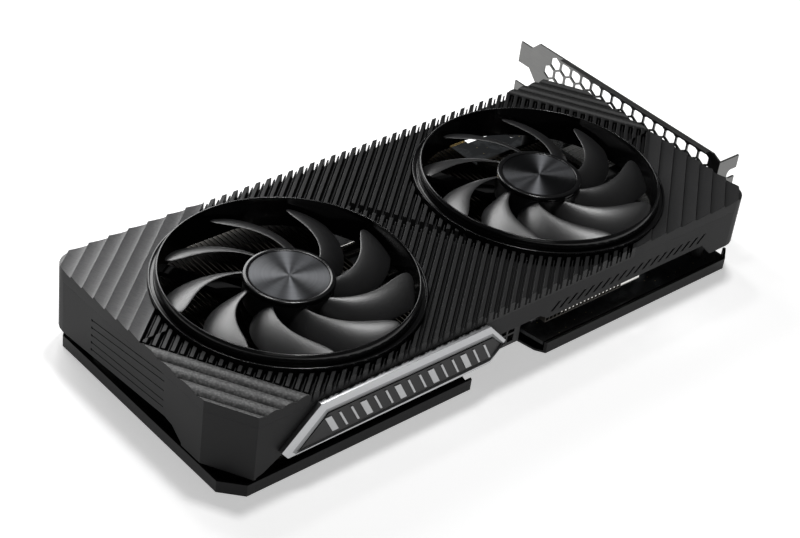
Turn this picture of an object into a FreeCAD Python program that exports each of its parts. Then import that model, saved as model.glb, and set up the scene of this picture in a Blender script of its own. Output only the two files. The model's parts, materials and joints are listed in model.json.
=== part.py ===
import FreeCAD, Part
import math
import os

V = FreeCAD.Vector

# Dual-fan graphics card, lying on its backplate with the fans facing up.
# Origin: middle of the backplate's underside, midway between the fans.
# +X points to the bracket, +Y to the slot connector, +Z out of the fans.

# ---- overall sizes, mm ----
CLOSED_END_X = -129.0        # outer face of the shroud's closed end
NEAR_Y = -54.0               # outer face of the long wall beside the badge
FAR_Y = 58.6                 # outer edge above the slot connector
FAN_SPACING = 128.4          # between the two fan axes
DECK_TOP = 34.8              # top of the ribs and of the walls
RING_TOP = 40.1              # crest of the fan rings, the highest point
BRACKET_X = 139.3            # outer face of the bracket
BRACKET_GAP = 4.6            # between the shroud's open end and the bracket's face

# ---- shroud ----
WALL = 2.0
WALL_BOTTOM = 6.4
FLOOR_TOP = 30.0
FLOOR = 1.5
CORNER_CUT_X = 10.0
CORNER_CUT_Y = 17.6
CORNER_ROUND = 9.0
FAR_WALL_BOTTOM = 22.0
END_WALL_BOTTOM = 20.0
OPEN_SIDES_INSET = 11.0      # solid wall left at either end of the open far side and open end
RIB_ANGLE = 39.7             # direction of the ribs and of the stepped panels
RIDGE_ANGLE = -59.5          # direction of the ridged panels and of the centre valley
RIB_PITCH = 3.5
RIB_WIDTH = 1.5
THIN_RIB_WIDTH = 0.6
THIN_RIB_DROP = 1.4
RIB_BASE = 0.8
VALLEY = 1.2
VALLEY_LENGTH = 54.0
PANEL_PITCH = 5.6
STEP_HEIGHT = 1.1
RIDGE_HEIGHT = 1.3
RIDGE_COUNT = 5
STRIP_LEAD = 20.0            # length of a panel's block before its tip
STRIP_LENGTH = 190.0
LOUVRE_FIRST_X = 25.0
LOUVRE_LAST_X = 109.0
LOUVRE_PITCH = 4.62
LOUVRE_WIDTH = 1.1
LOUVRE_LOW = 21.2
LOUVRE_HIGH = 24.8
LINE_FAR_Y = 30.4            # where the engraved lines on the closed end start, with a dot each
LINE_NEAR_Y = -14.0
LINE_STARTS = (24.7, 21.3, 17.9, 14.6, 11.4)
LINE_ENDS = (30.2, 27.2, 23.0, 18.7, 15.7)
LINE_WIDTH = 0.35
LINE_DEPTH = 0.4
LINE_DOT_R = 0.55
PLUG_GAP_TOP = 21.5          # underside of the near wall over the power plug
NEAR_RIGHT_BOTTOM = 18.9     # underside of the near wall beside the fins
NEAR_END_BOTTOM = 12.6       # underside of the near wall by the bracket
END_STEP_START = 25.7        # where that underside starts to rise, from the open end
END_STEP_STOP = 19.2
TIP_DROP = 1.0               # from mid-width to where the panels meet on the closed end

# ---- badge ----
BADGE_DEPTH = 2.0
BADGE_LEFT = -109.1
BADGE_RIGHT = -3.7
BADGE_TOP = 30.0
BADGE_BOTTOM = 11.5
BADGE_SLOPE = 6.6            # run of the badge's lower right corner
PLATE_DEPTH = 1.4

# ---- fans ----
BLADES = 9
BLADE_ROOT_R = 16.4
BLADE_TIP_R = 46.6
BLADE_T = 1.3
BLADE_TOP = 36.5
BLADE_SWEEP = 52.0           # degrees that the leading edge turns from root to tip
BLADE_ROOT_SPAN = 25.0       # degrees covered by the blade at the hub
BLADE_TIP_SPAN = 28.0
BLADE_DROP_ROOT = 8.5        # fall from the leading to the trailing edge
BLADE_DROP_TIP = 6.0
LEFT_PHASE = 8.0
RIGHT_PHASE = 21.0
HUB_R = 16.9
HUB_WALL = 1.4
HUB_TOP = 37.6
HUB_BOTTOM = 27.6
HUB_LID = 1.2
HUB_BOSS = 3.0               # depth of the boss that grips the shaft
TRIM_R = 17.3
TRIM_TOP = 38.8
CAP_R = 15.1
CAP_T = 0.9
SHAFT_R = 1.5
BEARING_CLEARANCE = 0.03
SLEEVE_R = 3.4
MAGNET_T = 2.6
STATOR_GAP = 1.1             # between the stator's teeth and the magnet
STATOR_LOW = 27.2
STATOR_HIGH = 32.4
STATOR_TEETH = 4
RING_CLEARANCE = 1.6         # between the blade tips and the ring
RING_CREST_R = 49.2
RING_SEAT_R = 51.4
RING_BOTTOM = 26.5
RING_STEP = 35.2
RING_LIP = 1.2                # the outer lip's height over the step
RING_CREST = 0.35             # half the width of the crest
RING_SKIRT = 1.4              # wall of the skirt under the ring
ARM_ANGLES = (0.0, 120.0, 240.0)
ARM_WIDTH = 5.0
ARM_T = 2.0
SOCKET_DEPTH = 1.2           # how far the bearing sleeve sits into the motor plate
ARM_DROP = 4.0               # from the ring's underside to the arm's underside
MOTOR_PLATE_R = 17.0
FAN_SCREW_R = 54.5           # distance from the fan's axis to its screws
FAN_SCREW_HOLE_R = 1.1
FAN_SCREW_HEAD_R = 2.4
FAN_SCREW_HEAD = 0.9
BOSS_R = 3.0

# ---- cooler ----
FIN_T = 0.4
FIN_PITCH = 2.1
FIN_TOP = 21.5
FIN_LOW_RIGHT = 12.4
FIN_LOW_LEFT = 6.4
LEFT_FINS_END_X = -22.0
RIGHT_FINS_START_X = 24.0
FULL_FINS_TO_X = 68.0        # beyond this the right-hand fins are shorter
FIN_END_GAP = 13.0           # between the closed end and the first fin
FIN_SIDE_GAP = 4.0
SHORT_FINS_Y = (-36.0, 38.0)
LEAD_TO_FINS = 6.8           # between the right fan's lead and the last fin
RAIL_T = 0.5                 # folded edges that join the fins of a stack
RAIL_WIDTH = 1.4
PIPE_R = 3.0
PIPE_Z = 15.0
PIPE_ROWS = (0.0, 12.0, 24.0)
BEND_PIPE_INNER_Y = -15.0
BEND_PIPE_OUTER_Y = -46.6
BEND_PIPE_Z = 12.9
BEND_PIPE_X = 36.0
BEND_PIPE_END_X = 77.6
PIPE_PAST_FINS = 1.0
COLD_PLATE = 50.0
COLD_PLATE_LOW = 7.0
COLD_PLATE_HIGH = 15.0
PLATE_SHEET_T = 1.4
PLATE_SHEET = 78.0
CHIP_CENTRE = (60.0, 4.0)

# ---- circuit board ----
PCB_BOTTOM = 3.2
PCB_T = 1.57
PCB_LEFT = -24.0
PCB_NEAR_Y = -52.0
PCB_FAR_Y = 69.7
PCB_END_GAP = 1.2
PCB_CORNER = 14.0
PLUG_NOTCH_X = (-16.4, 21.0)
PLUG_NOTCH_DEPTH = 13.8
EDGE_BOTTOM_Y = 78.0
KEY_FROM_BRACKET = 57.15
KEY_WIDTH = 1.9
SHORT_EDGE = 11.65
LONG_EDGE = 71.65
KEY_DEPTH = 7.6
EDGE_NICK = 0.8
EDGE_BEVEL = 0.9
HOOK = (8.0, 3.2, 1.6)       # far side, near side and slot of the hook before the edge connector
CONTACT_PITCH = 1.0
CONTACT_WIDTH = 0.7
CONTACT_LENGTH = 5.6
CONTACT_T = 0.05
SUBSTRATE = (34.0, 32.0, 1.4)
DIE = (17.0, 11.0)
MEMORY = (14.0, 12.0, 1.1)
MEMORY_OFFSET = 30.0         # from the chip's centre to a row of memory chips
MEMORY_SPREAD = 10.0
CHOKE = (7.0, 7.0, 5.6)
MOSFET = (5.0, 6.0, 0.9)
POWER_ROW_X = 12.0
POWER_ROW_Y = (-22.0, -13.0, -4.0, 5.0, 14.0, 23.0)
MOSFET_OFFSET = 8.5
CAPACITOR_R = 2.6
CAPACITOR_H = 6.0
CAPACITOR_BASE = 0.6
CAPACITOR_Y = -38.0
CAPACITOR_X = (30.0, 39.0, 48.0, 57.0, 66.0, 75.0, 84.0, 93.0)
POWER_X = (-7.0, 15.0)
POWER_FACE_Y = -46.0
POWER_DEPTH = 14.0
POWER_H = 10.6
PIN_PITCH = 4.2
CHAMBER = 3.3
CHAMBER_DEPTH = 9.5
PIN = 1.1
HEADER = (5.4, 10.0, 4.6)
SOCKET_PITCH = 20.4
SOCKET_FIRST_Y = 50.0
DP_SIZE = (18.0, 17.2, 5.7)  # depth, width, height
HDMI_SIZE = (13.0, 15.6, 6.4)
SOCKET_WALL = 0.45
TONGUE_T = 1.1

# ---- bracket ----
BRACKET_T = 0.86
BRACKET_LOW = 0.7
SLOT_PITCH = 20.32
BLADE_CENTRE_LOW = 9.93
BRACKET_TOP = 39.46
TAB_Y = -32.8
TAB_REACH = 11.43
TAB_TOP = 37.2
TONGUE_END_Y = 87.2
TONGUE_WIDTH = 10.19
SHOULDER_Y = 80.3
BRACKET_BODY_Y = 76.3
LIP_DEPTH = 3.0
LIP_Y = (-26.4, 61.0)
SCREW_NOTCH_LOW = 8.6
SCREW_NOTCH_W = 4.4
SCREW_NOTCH_DEPTH = 5.5
HEX_PITCH = 6.36
HEX_FLAT = 5.5
HEX_TOP_Z = 34.7
HEX_ROWS = 4
HEX_Y = (-27.0, 71.6)
OPENING_CLEARANCE = 0.25
EAR_LENGTH = 11.0
EAR_WIDTH = 9.0
EAR_SCREW = 4.0              # from the ear's end to its screw
EAR_Y = (-25.5, 63.5)

# ---- backplate and fasteners ----
BACKPLATE_T = 1.0
BACKPLATE_LIP = 5.1
BACKPLATE_END_GAP = 0.7      # the backplate stops this far short of the shroud's open end
BACKPLATE_INSET = 0.2
VENT_ROWS_Y = ((-40.0, -4.0), (4.0, 40.0))
VENT_FIRST_X = -112.0
VENT_PITCH = 7.0
VENT_COUNT = 9
VENT_WIDTH = 3.2
LIP_BESIDE_OPENING = 6.0
SCREW_R = 1.25
SCREW_HOLE_R = 1.45
SCREW_HEAD_R = 2.6
SCREW_HEAD = 1.0
CROSS = 2.8                  # length of the cross recess in a screw head
CROSS_WIDTH = 0.6
CROSS_DEPTH = 0.6
STANDOFF_R = 2.8
BOARD_POSTS = ((-15.0, -30.0), (-14.0, 50.0), (112.0, 50.0), (120.0, -44.0))
END_POST_INSET = (5.5, 12.6, 21.0)   # from the closed end, the far side and the near side
BOARD_SCREWS = ((104.0, -12.0), (20.0, 34.0))
BOARD_HOLES = ((30.0, 64.0), (116.0, 64.0))
POST_R = 3.0
POST_SCREW_DEPTH = 3.0
POST_SCREW_TIP = 2.8         # how far a screw goes into its post
BOARD_SCREW_TIP = 1.2        # how far a screw stands out of the board
SPRING_SCREW_OFFSET = 21.0
SPRING_HEAD_R = 2.9
SPRING_ACCESS_R = 4.2
SPRING_HEAD_TOP = 1.3
SPRING_SCREW_DEPTH = 3.0
SPRING_SCREW_TIP = 2.6
SPRING_WIRE = 0.4
SPRING_GAP = 0.6             # between the screw's shank and the middle of the spring wire
SPRING_RINGS = 3
LEAD_R = 0.9
LEAD_BEND = 6.0
LEAD_OFFSET_Y = 4.6
LEAD_LIFT = 0.2
LEAD_DROP_R = 46.6           # distance from the fan's axis to where the lead turns down

# ---- sizes that follow from the ones above ----
SHROUD_END_X = BRACKET_X - BRACKET_GAP
CENTRE_X = (CLOSED_END_X + SHROUD_END_X) / 2
CENTRE_Y = (NEAR_Y + FAR_Y) / 2
PCB_TOP = PCB_BOTTOM + PCB_T
PCB_RIGHT = BRACKET_X - PCB_END_GAP
FAN_X = {"left": -FAN_SPACING / 2, "right": FAN_SPACING / 2}
PHASE = {"left": LEFT_PHASE, "right": RIGHT_PHASE}
RING_R = BLADE_TIP_R + RING_CLEARANCE
ARM_BOTTOM = RING_BOTTOM - ARM_DROP
PLUG_BACK_Y = NEAR_Y + PLUG_NOTCH_DEPTH
BACKPLATE_END_X = SHROUD_END_X - BACKPLATE_END_GAP
FLOOR_LOW = FLOOR_TOP - FLOOR
FINS_NEAR_Y = NEAR_Y + FIN_SIDE_GAP
FINS_FAR_Y = FAR_Y - FIN_SIDE_GAP
LEFT_FINS_START_X = CLOSED_END_X + FIN_END_GAP
RIGHT_FINS_END_X = FAN_X["right"] + LEAD_DROP_R - LEAD_TO_FINS
END_POSTS = ((CLOSED_END_X + END_POST_INSET[0], FAR_Y - END_POST_INSET[1]),
             (CLOSED_END_X + END_POST_INSET[0], NEAR_Y + END_POST_INSET[2]))


# ---- small helpers ----
def box(x0, x1, y0, y1, z0, z1):
    return Part.makeBox(x1 - x0, y1 - y0, z1 - z0, V(x0, y0, z0))


def cylinder(x, y, r, z0, z1):
    return Part.makeCylinder(r, z1 - z0, V(x, y, z0))


def tube(x, y, r_in, r_out, z0, z1):
    return cylinder(x, y, r_out, z0, z1).cut(cylinder(x, y, r_in, z0, z1))


def wire(points):
    return Part.makePolygon(points + [points[0]])


def prism(points, z0, z1):
    """Upright prism over a plan outline."""
    face = Part.Face(wire([V(x, y, z0) for x, y in points]))
    return face.extrude(V(0, 0, z1 - z0))


def prism_along_y(points, y0, y1):
    """Prism over an outline in X and Z."""
    face = Part.Face(wire([V(x, y0, z) for x, z in points]))
    return face.extrude(V(0, y1 - y0, 0))


def prism_along_x(points, x0, x1):
    """Prism over an outline in Y and Z."""
    face = Part.Face(wire([V(x0, y, z) for y, z in points]))
    return face.extrude(V(x1 - x0, 0, 0))


def revolved(profile, x, y):
    """Solid of revolution about an upright axis from (radius, height) points."""
    face = Part.Face(wire([V(x + r, y, z) for r, z in profile]))
    return face.revolve(V(x, y, 0), V(0, 0, 1), 360)


def group(shapes):
    return Part.makeCompound(shapes)


def turn_half(points):
    """The same outline turned half a turn about the shroud's centre."""
    return [(2 * CENTRE_X - x, 2 * CENTRE_Y - y) for x, y in points]


def polar(x, y, r, degrees):
    a = math.radians(degrees)
    return x + r * math.cos(a), y + r * math.sin(a)


def cross_recess(x, y, low):
    """Cutter for the cross in a screw head whose underside is at low."""
    arm, half = CROSS / 2, CROSS_WIDTH / 2
    first = box(x - arm, x + arm, y - half, y + half, low - 1, low + CROSS_DEPTH)
    return first.fuse(box(x - half, x + half, y - arm, y + arm, low - 1, low + CROSS_DEPTH))


# ---- shroud ----
def shroud_outline(inset):
    """Plan of the shroud: two broad cut corners and two rounded ones, drawn inwards by inset."""
    x0, x1 = CLOSED_END_X + inset, SHROUD_END_X - inset
    y0, y1 = NEAR_Y + inset, FAR_Y - inset
    arc = [(math.sin(math.radians(a)), math.cos(math.radians(a))) for a in range(0, 91, 15)]
    r = CORNER_ROUND - inset
    near_right = [(x1 - r + r * s, y0 + r - r * c) for s, c in arc]
    far_left = [(x0 + r - r * s, y1 - r + r * c) for s, c in arc]
    cut_x, cut_y = CORNER_CUT_X - inset * 0.3, CORNER_CUT_Y - inset * 0.5
    return ([(x0, y0 + cut_y), (x0 + cut_x, y0)] + near_right
            + [(x1, y1 - cut_y), (x1 - cut_x, y1)] + far_left)


def panel_corners():
    """Where the panel edges start on the closed end and where they leave the long sides."""
    left = CLOSED_END_X
    tip_y = CENTRE_Y - TIP_DROP
    rise = math.tan(math.radians(RIB_ANGLE))
    fall = math.tan(math.radians(RIDGE_ANGLE))
    step_x = left + (FAR_Y - tip_y) / rise
    ridge_x = left + (NEAR_Y - tip_y) / fall
    return left, tip_y, step_x, ridge_x


def stepped_outline():
    left, tip_y, step_x, _ = panel_corners()
    return [(left, tip_y), (step_x, FAR_Y), (left, FAR_Y)]


def ridged_outline():
    left, tip_y, _, ridge_x = panel_corners()
    return [(left, tip_y), (left, NEAR_Y), (ridge_x, NEAR_Y)]


def rib_outline():
    left, tip_y, step_x, ridge_x = panel_corners()
    upper = [(left, tip_y), (step_x, FAR_Y)]
    lower = [(ridge_x, NEAR_Y)]
    return upper[:1] + lower + turn_half(upper[1:]) + turn_half(upper[:1]) + turn_half(lower) + upper[1:]


def ring_seats(z0, z1):
    return group([cylinder(x, 0, RING_SEAT_R, z0, z1) for x in FAN_X.values()])


def near_wall_gap():
    """Outline in X and Z of what is missing under the near wall."""
    low = WALL_BOTTOM - 1
    left, end = CLOSED_END_X + OPEN_SIDES_INSET, SHROUD_END_X
    wall_low = BADGE_BOTTOM + 0.8
    plug_left, plug_right = BADGE_RIGHT - 0.8, PLUG_NOTCH_X[1] - 5.0
    under_badge = [(left, low), (left, WALL_BOTTOM + 0.6), (left + 3.0, WALL_BOTTOM + 1.6),
                   (left + 10.0, wall_low), (BADGE_RIGHT - BADGE_SLOPE, wall_low)]
    over_plug = [(plug_left, PLUG_GAP_TOP - 2.0), (plug_left, PLUG_GAP_TOP),
                 (plug_right, PLUG_GAP_TOP), (plug_right + 4.0, NEAR_RIGHT_BOTTOM)]
    open_end = [(end - END_STEP_START, NEAR_RIGHT_BOTTOM), (end - END_STEP_STOP, NEAR_END_BOTTOM),
                (end + 5.0, NEAR_END_BOTTOM), (end + 5.0, low)]
    return under_badge + over_plug + open_end


def closed_end_gap():
    """Outline in Y and Z of the long wedge under the closed end."""
    low = WALL_BOTTOM - 1
    start, end = NEAR_Y + 28.6, FAR_Y - 10.1
    thin = WALL_BOTTOM + 0.6
    return [(start, low), (start, WALL_BOTTOM + 0.9), (start + 5.7, WALL_BOTTOM + 5.1),
            (start + 10.4, WALL_BOTTOM + 5.9), (end, thin), (FAR_Y + 1, thin), (FAR_Y + 1, low)]


def louvres():
    count = int((LOUVRE_LAST_X - LOUVRE_FIRST_X) / LOUVRE_PITCH + 0.5) + 1
    lean = (LOUVRE_HIGH - LOUVRE_LOW) * 1.05
    slots = []
    for i in range(count):
        x = LOUVRE_FIRST_X + i * LOUVRE_PITCH - lean
        outline = [(x, LOUVRE_LOW), (x + LOUVRE_WIDTH * 1.4, LOUVRE_LOW),
                   (x + lean + LOUVRE_WIDTH * 1.4, LOUVRE_HIGH), (x + lean, LOUVRE_HIGH)]
        slots.append(prism_along_y(outline, NEAR_Y - 1, NEAR_Y + WALL + 1))
    return group(slots)


def engraved_lines():
    """Thin rising lines cut into the closed end, each starting from a small round dot."""
    x, cutters = CLOSED_END_X - 1, []
    depth = 1 + LINE_DEPTH
    for start, end in zip(LINE_STARTS, LINE_ENDS):
        half = LINE_WIDTH / 2
        outline = [(LINE_FAR_Y, start - half), (LINE_NEAR_Y, end - half),
                   (LINE_NEAR_Y, end + half), (LINE_FAR_Y, start + half)]
        cutters.append(prism_along_x(outline, x, x + depth))
        cutters.append(Part.makeCylinder(LINE_DOT_R, depth, V(x, LINE_FAR_Y, start), V(1, 0, 0)))
    return group(cutters)


def shroud_shell():
    below = WALL_BOTTOM - 1
    inside = WALL + OPEN_SIDES_INSET - 1
    body = prism(shroud_outline(0), WALL_BOTTOM, DECK_TOP)
    body = body.cut(prism(shroud_outline(WALL), below, FLOOR_LOW))
    body = body.cut(ring_seats(FLOOR_LOW - 1, DECK_TOP + 1))
    body = body.cut(prism(rib_outline(), FLOOR_TOP, DECK_TOP + 1))
    for outline in panel_outlines().values():
        body = body.cut(prism(outline, FLOOR_TOP, DECK_TOP + 1))
    body = body.cut(prism_along_y(near_wall_gap(), NEAR_Y - 1, NEAR_Y + 12))
    body = body.cut(prism_along_x(closed_end_gap(), CLOSED_END_X - 1, CLOSED_END_X + WALL + 0.1))
    left, end, near = CLOSED_END_X + OPEN_SIDES_INSET, SHROUD_END_X, NEAR_Y + OPEN_SIDES_INSET
    body = body.cut(box(left, end + 1, FAR_Y - inside, FAR_Y + 1, below, FAR_WALL_BOTTOM))
    body = body.cut(box(end - inside, end + 1, near, FAR_Y + 1, below, END_WALL_BOTTOM))
    body = body.cut(louvres()).cut(engraved_lines())
    bosses, holes = [], []
    for x, y in fan_screw_places():
        bosses.append(cylinder(x, y, BOSS_R, ARM_BOTTOM + ARM_T, FLOOR_LOW))
        holes.append(cylinder(x, y, FAN_SCREW_HOLE_R, ARM_BOTTOM, FLOOR_TOP - 0.4))
    for places, low in ((BOARD_POSTS, PCB_TOP), (END_POSTS, BACKPLATE_T)):
        for x, y in places:
            bosses.append(cylinder(x, y, POST_R, low, FLOOR_LOW))
            holes.append(cylinder(x, y, SCREW_R, low - 1, low + POST_SCREW_DEPTH))
    return body.fuse(bosses).cut(group(holes)).removeSplitter()


def panel_outlines():
    """Plan outlines of the four corner panels, a margin inside the walls."""
    pairs = {"far_left": stepped_outline(), "near_left": ridged_outline()}
    pairs["near_right"] = turn_half(pairs["far_left"])
    pairs["far_right"] = turn_half(pairs["near_left"])
    return pairs


def profile_strip(name, height_at, low):
    """Panel whose top follows height_at across its ridges, trimmed to its corner of the shroud."""
    stepped = name in ("far_left", "near_right")
    angle = math.radians(RIB_ANGLE if stepped else RIDGE_ANGLE)
    left, tip_y, _, _ = panel_corners()
    along = (math.cos(angle), math.sin(angle))
    across = (-along[1], along[0]) if stepped else (along[1], -along[0])
    reach = 12 * PANEL_PITCH
    steps = 6
    top = []
    for i in range(12 * steps + 1):
        s = i * PANEL_PITCH / steps
        top.append((s, height_at(s)))
        if stepped and i % steps == 0 and i:
            top.append((s, height_at(s + 0.01)))
    section = [(0.0, low)] + top + [(reach, low)]
    start_x, start_y = left - along[0] * STRIP_LEAD, tip_y - along[1] * STRIP_LEAD
    points = [V(start_x + across[0] * s, start_y + across[1] * s, z) for s, z in section]
    solid = Part.Face(wire(points)).extrude(V(along[0] * STRIP_LENGTH, along[1] * STRIP_LENGTH, 0))
    if name in ("near_right", "far_right"):
        solid.rotate(V(CENTRE_X, CENTRE_Y, 0), V(0, 0, 1), 180)
    below, above = low - 1, DECK_TOP + 5
    trim = prism(shroud_outline(0), below, above).common(prism(panel_outlines()[name], below, above))
    return solid.common(trim).cut(ring_seats(low - 1, DECK_TOP + 6)).removeSplitter()


def step_height(s):
    part = (s / PANEL_PITCH) % 1.0
    return DECK_TOP + STEP_HEIGHT * (part ** 1.6 - 0.35)


def ridge_height(s):
    part = (s / PANEL_PITCH) % 1.0
    outer = max(0.0, s - RIDGE_COUNT * PANEL_PITCH)
    return DECK_TOP - 0.9 + RIDGE_HEIGHT * math.sin(math.pi * part) ** 0.7 - s * 0.035 - outer * 0.05


def rib_grille():
    """Field of diagonal ribs on a thin base, with a lower thin rib between each two."""
    region = prism(rib_outline(), FLOOR_TOP, DECK_TOP)
    region = region.common(prism(shroud_outline(0), FLOOR_TOP, DECK_TOP))
    region = region.cut(ring_seats(FLOOR_TOP - 1, DECK_TOP + 1))
    reach = (SHROUD_END_X - CLOSED_END_X) * 0.75
    count = int((SHROUD_END_X - CLOSED_END_X) * 0.56 / RIB_PITCH)
    gap = RIB_PITCH - RIB_WIDTH
    slot = (gap - THIN_RIB_WIDTH) / 2
    base = FLOOR_TOP + RIB_BASE
    high = DECK_TOP + 1
    thin_top = DECK_TOP - THIN_RIB_DROP
    gaps = []
    for i in range(-count, count + 1):
        s = i * RIB_PITCH + RIB_WIDTH / 2
        section = [(s, base), (s + slot, base), (s + slot, thin_top), (s + gap - slot, thin_top),
                   (s + gap - slot, base), (s + gap, base), (s + gap, high), (s, high)]
        gaps.append(prism_along_x(section, -reach, reach))
    cutters = group(gaps)
    cutters.rotate(V(0, 0, 0), V(0, 0, 1), RIB_ANGLE)
    cutters.translate(V(CENTRE_X, CENTRE_Y, 0))
    valley = box(-VALLEY_LENGTH / 2, VALLEY_LENGTH / 2, -VALLEY / 2, VALLEY / 2, base, high)
    valley.rotate(V(0, 0, 0), V(0, 0, 1), RIDGE_ANGLE)
    valley.translate(V(CENTRE_X, CENTRE_Y - 2.0, 0))
    return region.cut(cutters).cut(valley)


def fan_ring(side):
    x = FAN_X[side]
    outer, lip_top = RING_CREST_R + 1.0, RING_STEP + RING_LIP
    profile = [(RING_R, RING_BOTTOM), (RING_R, RING_TOP - 1.6), (RING_CREST_R - RING_CREST, RING_TOP),
               (RING_CREST_R + RING_CREST, RING_TOP), (outer, RING_TOP - 1.2), (outer, RING_STEP),
               (RING_SEAT_R - 0.6, RING_STEP), (RING_SEAT_R - 0.6, lip_top), (RING_SEAT_R, lip_top),
               (RING_SEAT_R, FLOOR_LOW), (RING_R + RING_SKIRT, FLOOR_LOW), (RING_R + RING_SKIRT, RING_BOTTOM)]
    return revolved(profile, x, 0)


# ---- badge ----
def badge_outlines():
    """Outer outline and pocket of the badge, in X and Z."""
    left, right, top, low = BADGE_LEFT, BADGE_RIGHT, BADGE_TOP, BADGE_BOTTOM
    outer = [(left, low + 3.7), (left + 3.0, low), (right - BADGE_SLOPE, low), (right, low + 8.2),
             (right - 9.6, top), (left + 15.9, top)]
    inner = [(left + 8.6, low + 0.8), (right - 7.0, low + 2.2), (right - 1.4, low + 6.3),
             (right - 6.8, top - 6.8), (left + 20.3, top - 6.4)]
    return outer, inner


def badge_frame():
    outer, inner = badge_outlines()
    solid = prism_along_y(outer, NEAR_Y - BADGE_DEPTH, NEAR_Y)
    return solid.cut(prism_along_y(inner, NEAR_Y - BADGE_DEPTH - 1, NEAR_Y + 1))


def badge_plate():
    _, inner = badge_outlines()
    return prism_along_y(inner, NEAR_Y - PLATE_DEPTH, NEAR_Y)


# ---- fans ----
def fan_screw_places():
    return [polar(x, 0, FAN_SCREW_R, a) for x in FAN_X.values() for a in ARM_ANGLES]


def blade_section(d, phase, x):
    """Closed flat outline of one blade, a bowed strip that falls away behind its leading edge.

    The outline stands square to a radius of the fan, d from the axis.
    """
    t = (d - BLADE_ROOT_R) / (BLADE_TIP_R - BLADE_ROOT_R)
    lead = phase + BLADE_SWEEP * (0.86 * t + 0.14 * t * t)
    span = BLADE_ROOT_SPAN + (BLADE_TIP_SPAN - BLADE_ROOT_SPAN) * t
    drop = BLADE_DROP_ROOT + (BLADE_DROP_TIP - BLADE_DROP_ROOT) * t
    top = BLADE_TOP - 0.8 * t
    middle = math.radians(lead - span / 2)
    half = d * math.tan(math.radians(span / 2))
    upper, lower = [], []
    for k in range(5):
        u = k / 4
        across = half * (1 - 2 * u)
        px = x + d * math.cos(middle) - across * math.sin(middle)
        py = d * math.sin(middle) + across * math.cos(middle)
        z = top - drop * (0.65 * u + 0.35 * u * u)
        thick = BLADE_T * (0.55 + 1.4 * u * (1 - u))
        upper.append(V(px, py, z))
        lower.append(V(px, py, z - thick))
    front = Part.BSplineCurve()
    front.interpolate(upper)
    back = Part.BSplineCurve()
    back.interpolate(lower[::-1])
    tail, nose = Part.makeLine(upper[-1], lower[-1]), Part.makeLine(lower[0], upper[0])
    return Part.Wire([front.toShape(), tail, back.toShape(), nose])


def blade(x, phase):
    """One blade, from inside the hub's wall to a tip trimmed round."""
    root = HUB_R - HUB_WALL + 0.25
    reach = BLADE_TIP_R + 0.4 - root
    solid = Part.makeLoft([blade_section(root + reach * k / 5, phase, x) for k in range(6)], True, False)
    return solid.common(cylinder(x, 0, BLADE_TIP_R, 0, RING_TOP))


def rotor(side):
    x = FAN_X[side]
    lid_low = HUB_TOP - HUB_LID
    hollow = cylinder(x, 0, HUB_R - HUB_WALL, HUB_BOTTOM - 1, lid_low)
    hub = cylinder(x, 0, HUB_R, HUB_BOTTOM, HUB_TOP).cut(hollow)
    boss = cylinder(x, 0, SHAFT_R + HUB_WALL, lid_low - HUB_BOSS, lid_low)
    blades = [blade(x, PHASE[side] + 360.0 * k / BLADES) for k in range(BLADES)]
    solid = hub.fuse([boss] + blades)
    return solid.cut(cylinder(x, 0, SHAFT_R, lid_low - HUB_BOSS, shaft_top()))


def shaft_top():
    return HUB_TOP - HUB_LID * 0.6


def hub_trim(side):
    x = FAN_X[side]
    profile = [(CAP_R, HUB_TOP), (CAP_R, TRIM_TOP - 0.5), (CAP_R + 0.5, TRIM_TOP), (TRIM_R - 0.9, TRIM_TOP),
               (TRIM_R, TRIM_TOP - 0.7), (TRIM_R, HUB_TOP - 1.0), (HUB_R, HUB_TOP - 1.0), (HUB_R, HUB_TOP)]
    return revolved(profile, x, 0)


def hub_cap(side):
    return cylinder(FAN_X[side], 0, CAP_R, HUB_TOP, HUB_TOP + CAP_T)


def magnet_ring(side):
    outer = HUB_R - HUB_WALL
    return tube(FAN_X[side], 0, outer - MAGNET_T, outer, HUB_BOTTOM + 0.4, STATOR_HIGH + 0.8)


def fan_shaft(side):
    return cylinder(FAN_X[side], 0, SHAFT_R, ARM_BOTTOM + SOCKET_DEPTH, shaft_top())


def bearing_sleeve(side):
    x = FAN_X[side]
    high = HUB_TOP - HUB_LID - HUB_BOSS - 0.4
    solid = cylinder(x, 0, SLEEVE_R, sleeve_low(), high)
    return solid.cut(cylinder(x, 0, SHAFT_R + BEARING_CLEARANCE, ARM_BOTTOM + SOCKET_DEPTH, high + 1))


def sleeve_low():
    return ARM_BOTTOM + ARM_T - SOCKET_DEPTH


def motor_base(side):
    """Round plate with three arms that end in screw eyes under the shroud's bosses."""
    x = FAN_X[side]
    low, high = ARM_BOTTOM, ARM_BOTTOM + ARM_T
    solid = cylinder(x, 0, MOTOR_PLATE_R, low, high)
    parts = []
    for a in ARM_ANGLES:
        arm = box(MOTOR_PLATE_R - 2, FAN_SCREW_R, -ARM_WIDTH / 2, ARM_WIDTH / 2, low, high)
        arm.rotate(V(0, 0, 0), V(0, 0, 1), a)
        arm.translate(V(x, 0, 0))
        ex, ey = polar(x, 0, FAN_SCREW_R, a)
        parts += [arm, cylinder(ex, ey, BOSS_R, low, high)]
    solid = solid.fuse(parts)
    places = [polar(x, 0, FAN_SCREW_R, a) for a in ARM_ANGLES]
    holes = [cylinder(px, py, FAN_SCREW_HOLE_R, low - 1, high + 1) for px, py in places]
    return solid.cut(group(holes + [cylinder(x, 0, SLEEVE_R, sleeve_low(), high + 1)])).removeSplitter()


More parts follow.
